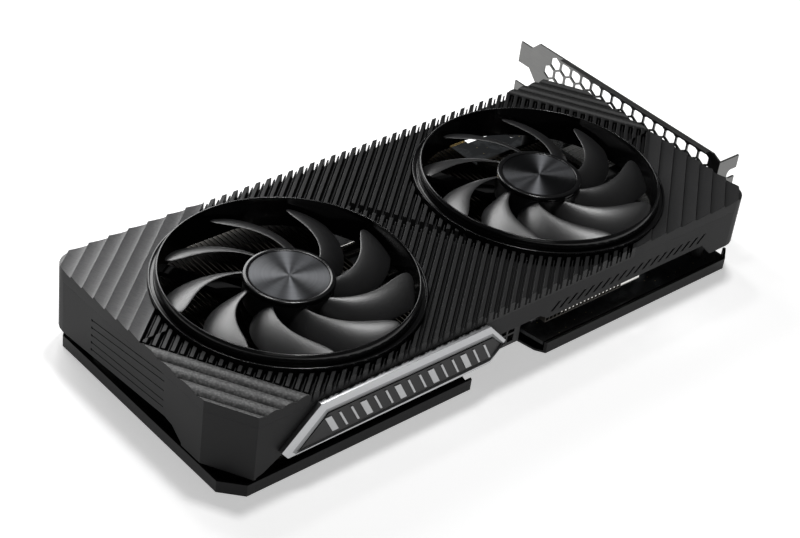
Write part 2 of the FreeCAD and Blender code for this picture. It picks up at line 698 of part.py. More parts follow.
def stator(side):
    """Laminated core with one wound tooth for each pole, round the bearing sleeve."""
    x = FAN_X[side]
    outer = HUB_R - HUB_WALL - MAGNET_T - STATOR_GAP
    solid = tube(x, 0, SLEEVE_R, SLEEVE_R + 1.8, STATOR_LOW, STATOR_HIGH)
    teeth = []
    for k in range(STATOR_TEETH):
        tooth = box(SLEEVE_R + 1.0, outer - 0.8, -1.6, 1.6, STATOR_LOW + 0.8, STATOR_HIGH - 0.8)
        coil = box(SLEEVE_R + 2.2, outer - 2.0, -2.9, 2.9, STATOR_LOW, STATOR_HIGH)
        shoe = tube(0, 0, outer - 1.4, outer, STATOR_LOW + 0.8, STATOR_HIGH - 0.8)
        shoe = shoe.common(box(0, outer + 1, -outer * 0.62, outer * 0.62, STATOR_LOW, STATOR_HIGH))
        piece = tooth.fuse([coil, shoe])
        piece.rotate(V(0, 0, 0), V(0, 0, 1), 45 + 360.0 * k / STATOR_TEETH)
        piece.translate(V(x, 0, 0))
        teeth.append(piece)
    return solid.fuse(teeth)


def driver_board(side):
    return tube(FAN_X[side], 0, SLEEVE_R, MOTOR_PLATE_R - 2.0, ARM_BOTTOM + ARM_T, ARM_BOTTOM + ARM_T + 0.8)


def fan_screws():
    low = ARM_BOTTOM - FAN_SCREW_HEAD
    screws = []
    for x, y in fan_screw_places():
        head = cylinder(x, y, FAN_SCREW_HEAD_R, low, ARM_BOTTOM).cut(cross_recess(x, y, low))
        screws.append(head.fuse(cylinder(x, y, FAN_SCREW_HOLE_R, ARM_BOTTOM, FLOOR_TOP - 0.6)))
    return group(screws)


def bent_tube(points, radius, bend):
    """Round tube along straight runs joined by tangent arcs."""
    edges, start = [], points[0]
    for a, b, c in zip(points, points[1:], points[2:]):
        into, away = (b - a).normalize(), (c - b).normalize()
        half = math.radians(math.degrees(into.getAngle(away)) / 2)
        cut = bend * math.tan(half)
        p, q = b - into * cut, b + away * cut
        middle = b + (away - into).normalize() * (bend / math.cos(half) - bend)
        edges += [Part.makeLine(start, p), Part.Arc(p, middle, q).toShape()]
        start = q
    edges.append(Part.makeLine(start, points[-1]))
    first = (points[1] - points[0]).normalize()
    disc = Part.Wire(Part.makeCircle(radius, points[0], first))
    return Part.Wire(edges).makePipeShell([disc], True, False)


def lead_drop_x(side):
    return FAN_X[side] + LEAD_DROP_R


def fan_lead(side):
    """Motor lead clipped beside an arm, turning down to its header on the board."""
    x = FAN_X[side]
    level = ARM_BOTTOM + LEAD_LIFT + LEAD_R
    start = V(x + MOTOR_PLATE_R - 1.0, LEAD_OFFSET_Y, level)
    turn = V(lead_drop_x(side), LEAD_OFFSET_Y, level)
    end = V(lead_drop_x(side), LEAD_OFFSET_Y, PCB_TOP + HEADER[2])
    return bent_tube([start, turn, end], LEAD_R, LEAD_BEND)


# ---- cooler ----
def pipe_line(y, x0, x1):
    """Straight pipe along the card."""
    return Part.makeCylinder(PIPE_R, x1 - x0, V(x0, y, PIPE_Z), V(1, 0, 0))


def heat_pipes():
    start, end = LEFT_FINS_START_X - PIPE_PAST_FINS, RIGHT_FINS_END_X + PIPE_PAST_FINS
    pipes = [pipe_line(y, start, end) for y in PIPE_ROWS]
    inner, outer, z = BEND_PIPE_INNER_Y, BEND_PIPE_OUTER_Y, BEND_PIPE_Z
    turn = V(BEND_PIPE_X - (inner - outer) / 2, (inner + outer) / 2, z)
    edges = [Part.makeLine(V(BEND_PIPE_END_X, outer, z), V(BEND_PIPE_X, outer, z)),
             Part.Arc(V(BEND_PIPE_X, outer, z), turn, V(BEND_PIPE_X, inner, z)).toShape(),
             Part.makeLine(V(BEND_PIPE_X, inner, z), V(end, inner, z))]
    disc = Part.Wire(Part.makeCircle(PIPE_R, V(BEND_PIPE_END_X, outer, z), V(-1, 0, 0)))
    pipes.append(Part.Wire(edges).makePipeShell([disc], True, False))
    return group(pipes)


def fin_row(x0, x1, y0, y1, z0):
    """Evenly spaced upright fins, joined by narrow folded edges along both sides."""
    count = int((x1 - x0) / FIN_PITCH)
    starts = [x0 + i * FIN_PITCH for i in range(count + 1)]
    fins = [box(x, x + FIN_T, y0, y1, z0, FIN_TOP) for x in starts]
    last = x0 + count * FIN_PITCH + FIN_T
    rails = [box(x0, last, y, y + RAIL_WIDTH, z, z + RAIL_T)
             for y in (y0, y1 - RAIL_WIDTH) for z in (z0, FIN_TOP - RAIL_T)]
    return fins[0].fuse(fins[1:] + rails), last


def fin_stack(side, pipes, plate):
    """The left fins stand clear of the board, the right ones over it and shorter beyond the chip."""
    if side == "left":
        row, _ = fin_row(LEFT_FINS_START_X, LEFT_FINS_END_X, FINS_NEAR_Y, FINS_FAR_Y, FIN_LOW_LEFT)
        return row.cut(pipes)
    full, last = fin_row(RIGHT_FINS_START_X, FULL_FINS_TO_X, FINS_NEAR_Y, FINS_FAR_Y, FIN_LOW_RIGHT)
    short, _ = fin_row(last + FIN_PITCH - FIN_T, RIGHT_FINS_END_X, *SHORT_FINS_Y, FIN_LOW_RIGHT)
    return group([full, short]).cut(pipes).cut(plate)


def chip_plate_box(half, z0, z1):
    x, y = CHIP_CENTRE
    return box(x - half, x + half, y - half, y + half, z0, z1)


def cold_plate(pipes):
    solid = chip_plate_box(COLD_PLATE / 2, COLD_PLATE_LOW, COLD_PLATE_HIGH).cut(pipes)
    low, high = COLD_PLATE_LOW - 1, COLD_PLATE_LOW + SPRING_SCREW_DEPTH
    holes = [cylinder(x, y, SCREW_R, low, high) for x, y in spring_screw_places()]
    return solid.cut(group(holes))


def memory_plate():
    solid = chip_plate_box(PLATE_SHEET / 2, COLD_PLATE_LOW, COLD_PLATE_LOW + PLATE_SHEET_T)
    return solid.cut(chip_plate_box(COLD_PLATE / 2, COLD_PLATE_LOW - 1, COLD_PLATE_HIGH))


def memory_places():
    x, y = CHIP_CENTRE
    d, half = MEMORY_OFFSET, MEMORY_SPREAD
    return [(x - d, y - half), (x - d, y + half), (x - half, y + d), (x + half, y + d)]


def chip(centre, size, z0):
    x, y = centre
    return box(x - size[0] / 2, x + size[0] / 2, y - size[1] / 2, y + size[1] / 2, z0, z0 + size[2])


def memory_chips():
    return group([chip(c, MEMORY, PCB_TOP) for c in memory_places()])


def thermal_pads():
    pad = (MEMORY[0] - 1, MEMORY[1] - 1, COLD_PLATE_LOW - PCB_TOP - MEMORY[2])
    return group([chip(c, pad, PCB_TOP + MEMORY[2]) for c in memory_places()])


def power_row():
    """Places along the row of chokes beside the chip."""
    return [(POWER_ROW_X, y) for y in POWER_ROW_Y]


def power_chokes():
    parts = []
    for x, y in power_row():
        body = chip((x, y), CHOKE, PCB_TOP)
        parts.append(body.makeChamfer(0.6, [e for e in body.Edges if abs(e.tangentAt(0).z) > 0.9]))
    return group(parts)


def power_transistors():
    return group([chip((x - MOSFET_OFFSET, y), MOSFET, PCB_TOP) for x, y in power_row()])


def capacitors():
    cans, can_low = [], PCB_TOP + CAPACITOR_BASE
    for x in CAPACITOR_X:
        base = chip((x, CAPACITOR_Y), (2 * CAPACITOR_R, 2 * CAPACITOR_R, CAPACITOR_BASE), PCB_TOP)
        cans.append(base.fuse(cylinder(x, CAPACITOR_Y, CAPACITOR_R - 0.1, can_low, PCB_TOP + CAPACITOR_H)))
    return group(cans)


# ---- circuit board ----
def edge_x():
    """X limits of the two stretches of edge connector, either side of the key."""
    key = BRACKET_X - KEY_FROM_BRACKET
    left, right = key - KEY_WIDTH / 2, key + KEY_WIDTH / 2
    return (left - LONG_EDGE, left), (right, right + SHORT_EDGE)


def circuit_board():
    (long0, long1), (short0, short1) = edge_x()
    bottom, key_y, nick = EDGE_BOTTOM_Y, EDGE_BOTTOM_Y - KEY_DEPTH, EDGE_NICK
    hook_far, hook_near, hook_slot = HOOK
    near = [(PCB_LEFT, PLUG_BACK_Y), (PLUG_NOTCH_X[1], PLUG_BACK_Y), (PLUG_NOTCH_X[1] + 2, PCB_NEAR_Y),
            (PCB_RIGHT - PCB_CORNER, PCB_NEAR_Y), (PCB_RIGHT, PCB_NEAR_Y + PCB_CORNER), (PCB_RIGHT, PCB_FAR_Y)]
    short_row = [(short1, PCB_FAR_Y), (short1, bottom - nick), (short1 - nick, bottom),
                 (short0 + nick, bottom), (short0, bottom - nick), (short0, key_y)]
    long_row = [(long1, key_y), (long1, bottom - nick), (long1 - nick, bottom),
                (long0 + nick, bottom), (long0, bottom - nick), (long0, PCB_FAR_Y)]
    hook = [(long0 - hook_near, PCB_FAR_Y), (long0 - hook_near, bottom - 3), (long0 - hook_slot, bottom - 3),
            (long0 - hook_slot, bottom - 1), (long0 - hook_far + 1.6, bottom - 1),
            (long0 - hook_far, PCB_FAR_Y), (PCB_LEFT, PCB_FAR_Y)]
    solid = prism(near + short_row + long_row + hook, PCB_BOTTOM, PCB_TOP)
    for z, side in ((PCB_TOP, -1), (PCB_BOTTOM, 1)):
        wedge = [(bottom - 1.2, z), (bottom + 1, z), (bottom + 1, z + side * EDGE_BEVEL)]
        solid = solid.cut(prism_along_x(wedge, long0 - 1, short1 + 1))
    through = BOARD_POSTS + BOARD_SCREWS + BOARD_HOLES
    holes = [cylinder(x, y, SCREW_HOLE_R, PCB_BOTTOM - 1, PCB_TOP + 1) for x, y in through]
    holes += [cylinder(x, y, SCREW_HOLE_R, PCB_BOTTOM - 1, PCB_TOP + 1) for x, y in spring_screw_places()]
    holes += [cylinder(x, y, SCREW_HOLE_R, PCB_BOTTOM - 1, PCB_TOP + 1) for x, y in ear_screw_places()]
    return solid.cut(group(holes))


def edge_contacts():
    top_y = EDGE_BOTTOM_Y - 1.4
    strips = []
    for x0, x1 in edge_x():
        count = int((x1 - x0) / CONTACT_PITCH)
        start = (x0 + x1 - (count - 1) * CONTACT_PITCH) / 2
        for i in range(count):
            left = start + i * CONTACT_PITCH - CONTACT_WIDTH / 2
            for low in (PCB_TOP, PCB_BOTTOM - CONTACT_T):
                right, high = left + CONTACT_WIDTH, low + CONTACT_T
                strips.append(box(left, right, top_y - CONTACT_LENGTH, top_y, low, high))
    return group(strips)


def chamber_centres():
    middle = (POWER_X[0] + POWER_X[1]) / 2
    low = PCB_TOP + POWER_H / 2 - PIN_PITCH / 2
    return [(middle + (i - 1.5) * PIN_PITCH, low + j * PIN_PITCH) for i in range(4) for j in range(2)]


def power_socket():
    """Eight-way socket that faces the long edge."""
    back = POWER_FACE_Y + POWER_DEPTH
    solid = box(*POWER_X, POWER_FACE_Y, back, PCB_TOP, PCB_TOP + POWER_H)
    middle = (POWER_X[0] + POWER_X[1]) / 2
    top = PCB_TOP + POWER_H
    latch = box(middle - 2, middle + 2, POWER_FACE_Y + 0.5, POWER_FACE_Y + 5, top, top + 1.3)
    half = CHAMBER / 2
    chambers = [box(x - half, x + half, POWER_FACE_Y - 1, POWER_FACE_Y + CHAMBER_DEPTH, z - half, z + half)
                for x, z in chamber_centres()]
    return solid.fuse(latch).cut(group(chambers))


def power_pins():
    half = PIN / 2
    back = POWER_FACE_Y + CHAMBER_DEPTH
    front = POWER_FACE_Y + 2
    return group([box(x - half, x + half, front, back, z - half, z + half) for x, z in chamber_centres()])


def fan_headers():
    return group([chip((lead_drop_x(side), LEAD_OFFSET_Y), HEADER, PCB_TOP) for side in FAN_X])


def socket_places():
    return [SOCKET_FIRST_Y - i * SOCKET_PITCH for i in range(4)]


def socket_shell(y, size):
    depth, width, height = size
    z0 = PCB_TOP
    x0, x1 = BRACKET_X - depth, BRACKET_X
    solid = box(x0, x1, y - width / 2, y + width / 2, z0, z0 + height)
    w = SOCKET_WALL
    return solid.cut(box(x0 + 1.5, x1 + 1, y - width / 2 + w, y + width / 2 - w, z0 + w, z0 + height - w))


def socket_tongue(y, size):
    depth, width, height = size
    mid = PCB_TOP + height / 2
    reach = width / 2 - SOCKET_WALL - 2.0
    low, high = mid - TONGUE_T / 2, mid + TONGUE_T / 2
    return box(BRACKET_X - depth + 1.5, BRACKET_X - 2.0, y - reach, y + reach, low, high)


def display_sizes():
    return [(y, HDMI_SIZE if i == 0 else DP_SIZE) for i, y in enumerate(socket_places())]


# ---- bracket ----
def hexagon(y, z, flat):
    r, turns = flat / math.sqrt(3), [math.radians(60 * k) for k in range(6)]
    return [V(0, y + r * math.sin(turn), z + r * math.cos(turn)) for turn in turns]


def vent_centres():
    centres = []
    row_pitch = HEX_PITCH * math.sqrt(3) / 2
    for row in range(HEX_ROWS):
        y = HEX_Y[1] - HEX_PITCH / 2 - (HEX_PITCH / 2 if row % 2 == 0 else 0)
        while y > HEX_Y[0]:
            centres.append((y, HEX_TOP_Z - row * row_pitch))
            y -= HEX_PITCH
    return centres


def bracket_face():
    half = TONGUE_WIDTH / 2
    low, high = BLADE_CENTRE_LOW, BLADE_CENTRE_LOW + SLOT_PITCH
    between = (low + high) / 2
    low_tongue = [(SHOULDER_Y, low - half), (TONGUE_END_Y, low - half),
                  (TONGUE_END_Y, low + half), (SHOULDER_Y, low + half)]
    high_tongue = [(SHOULDER_Y, high - half), (TONGUE_END_Y, high - half),
                   (TONGUE_END_Y, high + half), (SHOULDER_Y, high + half)]
    bottom = [(TAB_Y, BRACKET_LOW), (BRACKET_BODY_Y, BRACKET_LOW)]
    top = [(BRACKET_BODY_Y, BRACKET_TOP), (LIP_Y[1] + 3, BRACKET_TOP),
           (LIP_Y[0] - 2, BRACKET_TOP), (TAB_Y, TAB_TOP)]
    return bottom + low_tongue + [(BRACKET_BODY_Y - 1, between)] + high_tongue + top


def bracket():
    inner = BRACKET_X - BRACKET_T
    outline = wire([V(inner, y, z) for y, z in bracket_face()])
    holes = []
    for y, z in vent_centres():
        hex_points = [V(inner, p.y, p.z) for p in hexagon(y, z, HEX_FLAT)]
        holes.append(wire(hex_points))
    for y, (depth, width, height) in display_sizes():
        c = OPENING_CLEARANCE
        y0, y1, z0, z1 = y - width / 2 - c, y + width / 2 + c, PCB_TOP - c, PCB_TOP + height + c
        holes.append(wire([V(inner, y0, z0), V(inner, y1, z0), V(inner, y1, z1), V(inner, y0, z1)]))
    face = Part.makeFace([outline] + holes, "Part::FaceMakerBullseye")
    plate = face.extrude(V(BRACKET_T, 0, 0))
    tab_low, tab_high = TAB_Y, TAB_Y + BRACKET_T
    notch = SCREW_NOTCH_W / 2
    reach = BRACKET_X + TAB_REACH
    tab = box(inner, reach, tab_low, tab_high, BRACKET_LOW, TAB_TOP)
    for z in (SCREW_NOTCH_LOW, SCREW_NOTCH_LOW + SLOT_PITCH):
        deep = reach - SCREW_NOTCH_DEPTH + notch
        tab = tab.cut(box(deep, reach + 1, tab_low - 1, tab_high + 1, z - notch, z + notch))
        tab = tab.cut(Part.makeCylinder(notch, BRACKET_T + 2, V(deep, tab_low - 1, z), V(0, 1, 0)))
    lip = box(BRACKET_X - LIP_DEPTH, BRACKET_X, *LIP_Y, BRACKET_TOP - BRACKET_T, BRACKET_TOP)
    ear_top, half = PCB_TOP + BRACKET_T, EAR_WIDTH / 2
    ears = [box(inner - EAR_LENGTH, inner + 0.1, y - half, y + half, PCB_TOP, ear_top) for y in EAR_Y]
    solid = plate.fuse([tab, lip] + ears)
    screw_holes = [cylinder(x, y, SCREW_R, PCB_TOP - 1, ear_top + 1) for x, y in ear_screw_places()]
    return solid.cut(group(screw_holes)).removeSplitter()


def ear_screw_places():
    x = BRACKET_X - BRACKET_T - EAR_LENGTH + EAR_SCREW
    return [(x, y) for y in EAR_Y]


def pan_screw(x, y, z_head, z_tip, head_r=SCREW_HEAD_R):
    """Screw driven up from below, with a cross in its head."""
    low = z_head - SCREW_HEAD
    head = cylinder(x, y, head_r, low, z_head).cut(cross_recess(x, y, low))
    return head.fuse(cylinder(x, y, SCREW_R, z_head, z_tip))


def bracket_screws():
    return group([pan_screw(x, y, PCB_BOTTOM, PCB_TOP + BRACKET_T + 0.8) for x, y in ear_screw_places()])


# ---- backplate ----
def backplate_outline(inset):
    x0, x1 = CLOSED_END_X + BACKPLATE_INSET + inset, BACKPLATE_END_X - inset
    y0, y1 = NEAR_Y + BACKPLATE_INSET + inset, FAR_Y - inset
    cut = inset * 0.5
    return [(x0, y0 + 7.8 - cut), (x0 + 7.5 - cut, y0), (x1 - 6.0 + cut, y0), (x1, y0 + 4.8 - cut),
            (x1, y1), (x0 + 8.0 - cut, y1), (x0, y1 - 9.0 + cut)]


def plug_notch(z0, z1):
    x0, x1 = PLUG_NOTCH_X
    return prism([(x0 - 1.6, NEAR_Y - 2), (x0, NEAR_Y + 0.2), (x0 + 4.0, PLUG_BACK_Y),
                  (x1 - 2.0, PLUG_BACK_Y), (x1, NEAR_Y + 4.0), (x1 + 4.0, NEAR_Y - 2)], z0, z1)


def backplate():
    """Sheet with an upturned rim, open along the slot connector and the bracket."""
    t, high = BACKPLATE_T, BACKPLATE_LIP
    solid = prism(backplate_outline(0), 0, high).cut(prism(backplate_outline(t), t, high + 1))
    far_open = FAR_Y - LIP_BESIDE_OPENING
    solid = solid.cut(box(PCB_LEFT - 2.0, BACKPLATE_END_X + 1, far_open, FAR_Y + 1, t, high + 1))
    end_open, near = BACKPLATE_END_X - LIP_BESIDE_OPENING, NEAR_Y + LIP_BESIDE_OPENING
    solid = solid.cut(box(end_open, BACKPLATE_END_X + 1, near, FAR_Y + 1, t, high + 1))
    solid = solid.cut(plug_notch(-1, high + 1))
    sinks = []
    for x, y, _ in back_screw_places():
        sinks.append(cylinder(x, y, SCREW_HOLE_R, -1, t + 1))
        sinks.append(Part.makeCone(SCREW_HEAD_R + 0.3, SCREW_HOLE_R, t, V(x, y, 0)))
    sinks += [cylinder(x, y, SPRING_ACCESS_R, -1, t + 1) for x, y in spring_screw_places()]
    return solid.cut(group(sinks)).cut(vent_slots())


def vent_slots():
    """Two rows of leaning slots under the fins that stand clear of the board."""
    slots = []
    for y0, y1 in VENT_ROWS_Y:
        lean = (y1 - y0) / math.tan(math.radians(-RIDGE_ANGLE))
        for i in range(VENT_COUNT):
            x = VENT_FIRST_X + i * VENT_PITCH
            slots.append(prism([(x, y0), (x + VENT_WIDTH, y0), (x + VENT_WIDTH + lean, y1), (x + lean, y1)],
                               -1, BACKPLATE_T + 1))
    return group(slots)


def back_screw_places():
    """Places and tip heights of the countersunk screws driven up through the backplate."""
    tips = [(x, y, PCB_TOP + POST_SCREW_TIP) for x, y in BOARD_POSTS]
    tips += [(x, y, BACKPLATE_T + POST_SCREW_TIP) for x, y in END_POSTS]
    return tips + [(x, y, PCB_TOP + BOARD_SCREW_TIP) for x, y in BOARD_SCREWS]


def backplate_screws():
    screws, sunk = [], 0.1
    for x, y, tip in back_screw_places():
        head = Part.makeCone(SCREW_HEAD_R, SCREW_R, BACKPLATE_T - sunk, V(x, y, sunk))
        screw = head.fuse(cylinder(x, y, SCREW_R, BACKPLATE_T - sunk, tip))
        screws.append(screw.cut(cross_recess(x, y, sunk)))
    return group(screws)


def standoffs():
    places = BOARD_POSTS + BOARD_SCREWS
    return group([tube(x, y, SCREW_R, STANDOFF_R, BACKPLATE_T, PCB_BOTTOM) for x, y in places])


def spring_screw_places():
    x, y = CHIP_CENTRE
    d = SPRING_SCREW_OFFSET
    return [(x + i * d, y + j * d) for i in (-1, 1) for j in (-1, 1)]


def spring_screws():
    tip = COLD_PLATE_LOW + SPRING_SCREW_TIP
    return group([pan_screw(x, y, SPRING_HEAD_TOP, tip, SPRING_HEAD_R) for x, y in spring_screw_places()])


def screw_springs():
    """Stacked rings under each spring screw's head, standing in for a coil."""
    wire_r = SPRING_WIRE / 2
    low, high = SPRING_HEAD_TOP + wire_r, PCB_BOTTOM - wire_r
    rings = []
    for x, y in spring_screw_places():
        for i in range(SPRING_RINGS):
            z = low + (high - low) * i / (SPRING_RINGS - 1)
            rings.append(Part.makeTorus(SCREW_R + SPRING_GAP, wire_r, V(x, y, z)))
    return group(rings)


def build():
    """Every node of the card, by name."""
    pipes = heat_pipes()
    plate = cold_plate(pipes)
    die_low = PCB_TOP + SUBSTRATE[2]
    nodes = {
        "shroud_shell": shroud_shell(),
        "rib_grille": rib_grille(),
        "badge_frame": badge_frame(),
        "badge_plate": badge_plate(),
        "heat_pipes": pipes,
        "cold_plate": plate,
        "memory_plate": memory_plate(),
        "fin_stack_left": fin_stack("left", pipes, plate),
        "fin_stack_right": fin_stack("right", pipes, plate),
        "thermal_pads": thermal_pads(),
        "circuit_board": circuit_board(),
        "edge_contacts": edge_contacts(),
        "chip_substrate": chip(CHIP_CENTRE, SUBSTRATE, PCB_TOP),
        "chip_die": chip(CHIP_CENTRE, (*DIE, COLD_PLATE_LOW - die_low), die_low),
        "memory_chips": memory_chips(),
        "power_chokes": power_chokes(),
        "power_transistors": power_transistors(),
        "capacitors": capacitors(),
        "power_socket": power_socket(),
        "power_pins": power_pins(),
        "fan_headers": fan_headers(),
        "display_socket_wide": socket_shell(*display_sizes()[0]),
        "display_sockets": group([socket_shell(*d) for d in display_sizes()[1:]]),
        "socket_blades": group([socket_tongue(*d) for d in display_sizes()]),
        "bracket": bracket(),
        "bracket_screws": bracket_screws(),
        "backplate": backplate(),
        "backplate_screws": backplate_screws(),
        "standoffs": standoffs(),
        "spring_screws": spring_screws(),
        "screw_springs": screw_springs(),
        "fan_screws": fan_screws(),
    }
    for name in panel_outlines():
        height_at = step_height if name in ("far_left", "near_right") else ridge_height
        nodes["panel_" + name] = profile_strip(name, height_at, FLOOR_TOP)
    makers = {"fan_ring": fan_ring, "motor_base": motor_base, "bearing_sleeve": bearing_sleeve,
              "stator": stator, "driver_board": driver_board, "fan_lead": fan_lead, "rotor": rotor,
              "hub_trim": hub_trim, "hub_cap": hub_cap, "magnet_ring": magnet_ring, "fan_shaft": fan_shaft}
    for side in FAN_X:
        for name, make in makers.items():
            nodes[name + "_" + side] = make(side)
    return nodes


os.makedirs("parts", exist_ok=True)
for node, shape in build().items():
    state = "valid" if shape.isValid() else "NOT VALID"
    print(node, len(shape.Solids), "solids", round(shape.Volume), "mm3", state)
    shape.exportStep("parts/" + node + ".step")
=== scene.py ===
"""Looks of a dual-fan graphics card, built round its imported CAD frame.

Lengths are in metres unless a name says mm. +X runs along the card to the
bracket, +Y to the slot connector and +Z out of the fans.
"""

import json
import logging
import math
from dataclasses import dataclass, field
from enum import Enum
from typing import Callable, Iterable, Sequence

import bmesh
import bpy
from mathutils import Matrix, Vector

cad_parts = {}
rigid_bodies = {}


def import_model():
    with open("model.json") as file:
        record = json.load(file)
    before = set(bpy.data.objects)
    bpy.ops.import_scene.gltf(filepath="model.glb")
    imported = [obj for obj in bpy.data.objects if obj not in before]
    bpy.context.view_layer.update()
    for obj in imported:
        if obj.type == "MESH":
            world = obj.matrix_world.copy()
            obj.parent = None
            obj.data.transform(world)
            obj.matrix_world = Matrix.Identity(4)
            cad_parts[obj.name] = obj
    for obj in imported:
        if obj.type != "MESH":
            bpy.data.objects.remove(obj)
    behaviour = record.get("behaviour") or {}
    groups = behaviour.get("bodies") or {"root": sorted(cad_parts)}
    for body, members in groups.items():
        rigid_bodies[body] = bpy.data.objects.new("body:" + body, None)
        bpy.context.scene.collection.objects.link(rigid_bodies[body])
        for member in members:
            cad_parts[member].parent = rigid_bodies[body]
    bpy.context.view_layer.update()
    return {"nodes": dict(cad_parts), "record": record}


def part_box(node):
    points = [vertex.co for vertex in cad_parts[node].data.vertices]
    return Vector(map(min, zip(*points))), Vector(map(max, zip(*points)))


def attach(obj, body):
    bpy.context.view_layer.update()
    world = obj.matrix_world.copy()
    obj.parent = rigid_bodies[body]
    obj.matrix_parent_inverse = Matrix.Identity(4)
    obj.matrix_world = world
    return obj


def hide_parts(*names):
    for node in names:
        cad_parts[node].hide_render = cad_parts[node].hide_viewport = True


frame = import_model()

MM = 0.001
LOG = logging.getLogger("graphics_card")
Point = tuple[float, float]
Colour = tuple[float, float, float]


# ---------------------------------------------------------------- node trees
def operator(operation: str, swapped: bool = False) -> Callable[..., "Wire"]:
    """A Wire method that adds one Math node.

    Args:
        operation: the Math node's operation.
        swapped: whether the wire comes after the other operand.

    Returns:
        The method.
    """
    def apply(self: "Wire", *others: "Wire | float") -> "Wire":
        """Adds the node."""
        values = (*others, self) if swapped else (self, *others)
        return self.net.node("ShaderNodeMath", {"operation": operation}, dict(enumerate(values)))
    return apply


class Wire:
    """An output socket of a node, which can be used in Python expressions."""

    def __init__(self, net: "Net", node: bpy.types.Node, socket: bpy.types.NodeSocket) -> None:
        """Keeps the tree, the node and its output socket."""
        self.net, self.owner, self.socket = net, node, socket

    def other(self, name: str | int) -> "Wire":
        """Another output of the same node."""
        return Wire(self.net, self.owner, self.owner.outputs[name])

    __add__ = __radd__ = operator("ADD")
    __mul__ = __rmul__ = operator("MULTIPLY")
    __sub__ = operator("SUBTRACT")
    __rsub__ = operator("SUBTRACT", swapped=True)
    __truediv__ = operator("DIVIDE")
    __pow__ = operator("POWER")
    __gt__ = operator("GREATER_THAN")
    __lt__ = operator("LESS_THAN")
    __abs__ = operator("ABSOLUTE")
    at_least = operator("MAXIMUM")
    at_most = operator("MINIMUM")
    fraction = operator("FRACT")
    sign = operator("SIGN")
    sine = operator("SINE")
    cosine = operator("COSINE")
    plain_root = operator("SQRT")

    def root(self) -> "Wire":
        """Square root, of nothing below nought."""
        return self.at_least(0.0).plain_root()

    def smooth(self, low: float, high: float) -> "Wire":
        """Eased step from nought at low to one at high."""
        return self.net.node("ShaderNodeMapRange", {"interpolation_type": "SMOOTHSTEP"}, {
            "Value": self, "From Min": low, "From Max": high})


class Net:
    """A node tree that is being filled in."""

    def __init__(self, tree: bpy.types.NodeTree) -> None:
        """Keeps the tree."""
        self.tree = tree

    def node(self, kind: str, settings: dict | None = None, values: dict | None = None,
             out: int | str = 0) -> Wire:
        """Adds a node.

        Args:
            kind: the node's type.
            settings: attributes set before its sockets.
            values: numbers, wires or lists of wires for its inputs, by name or number.
            out: the output that is returned.

        Returns:
            One of its outputs.
        """
        made = self.tree.nodes.new(kind)
        for name, value in (settings or {}).items():
            setattr(made, name, value)
        for key, value in (values or {}).items():
            self._feed(made.inputs[key], value)
        return Wire(self, made, made.outputs[out] if made.outputs else None)

    def _feed(self, socket: bpy.types.NodeSocket, value: object) -> None:
        """Links a wire or a list of wires to a socket, or sets its value.

        Args:
            socket: the input.
            value: a wire, a list of wires, or what the socket holds.
        """
        for item in value if isinstance(value, list) else [value]:
            if isinstance(item, Wire):
                self.tree.links.new(item.socket, socket)
            elif isinstance(item, (tuple, Vector)) and socket.type == "RGBA":
                socket.default_value = (*item[:3], 1.0)
            else:
                socket.default_value = item

    def split(self, vector: Wire) -> tuple[Wire, Wire, Wire]:
        """The three parts of a vector."""
        first = self.node("ShaderNodeSeparateXYZ", values={0: vector})
        return first, first.other(1), first.other(2)

    def join(self, x: Wire | float, y: Wire | float, z: Wire | float) -> Wire:
        """A vector from three numbers."""
        return self.node("ShaderNodeCombineXYZ", values={0: x, 1: y, 2: z})

    def vector(self, operation: str, *values: object, scale: Wire | float | None = None) -> Wire:
        """A Vector Math node.

        Args:
            operation: the node's operation.
            values: its vectors.
            scale: the factor of a SCALE.

        Returns:
            Its result, the number for a DOT_PRODUCT or LENGTH.
        """
        inputs: dict = dict(enumerate(values))
        if scale is not None:
            inputs["Scale"] = scale
        out = "Value" if operation in ("DOT_PRODUCT", "LENGTH") else "Vector"
        return self.node("ShaderNodeVectorMath", {"operation": operation}, inputs, out)


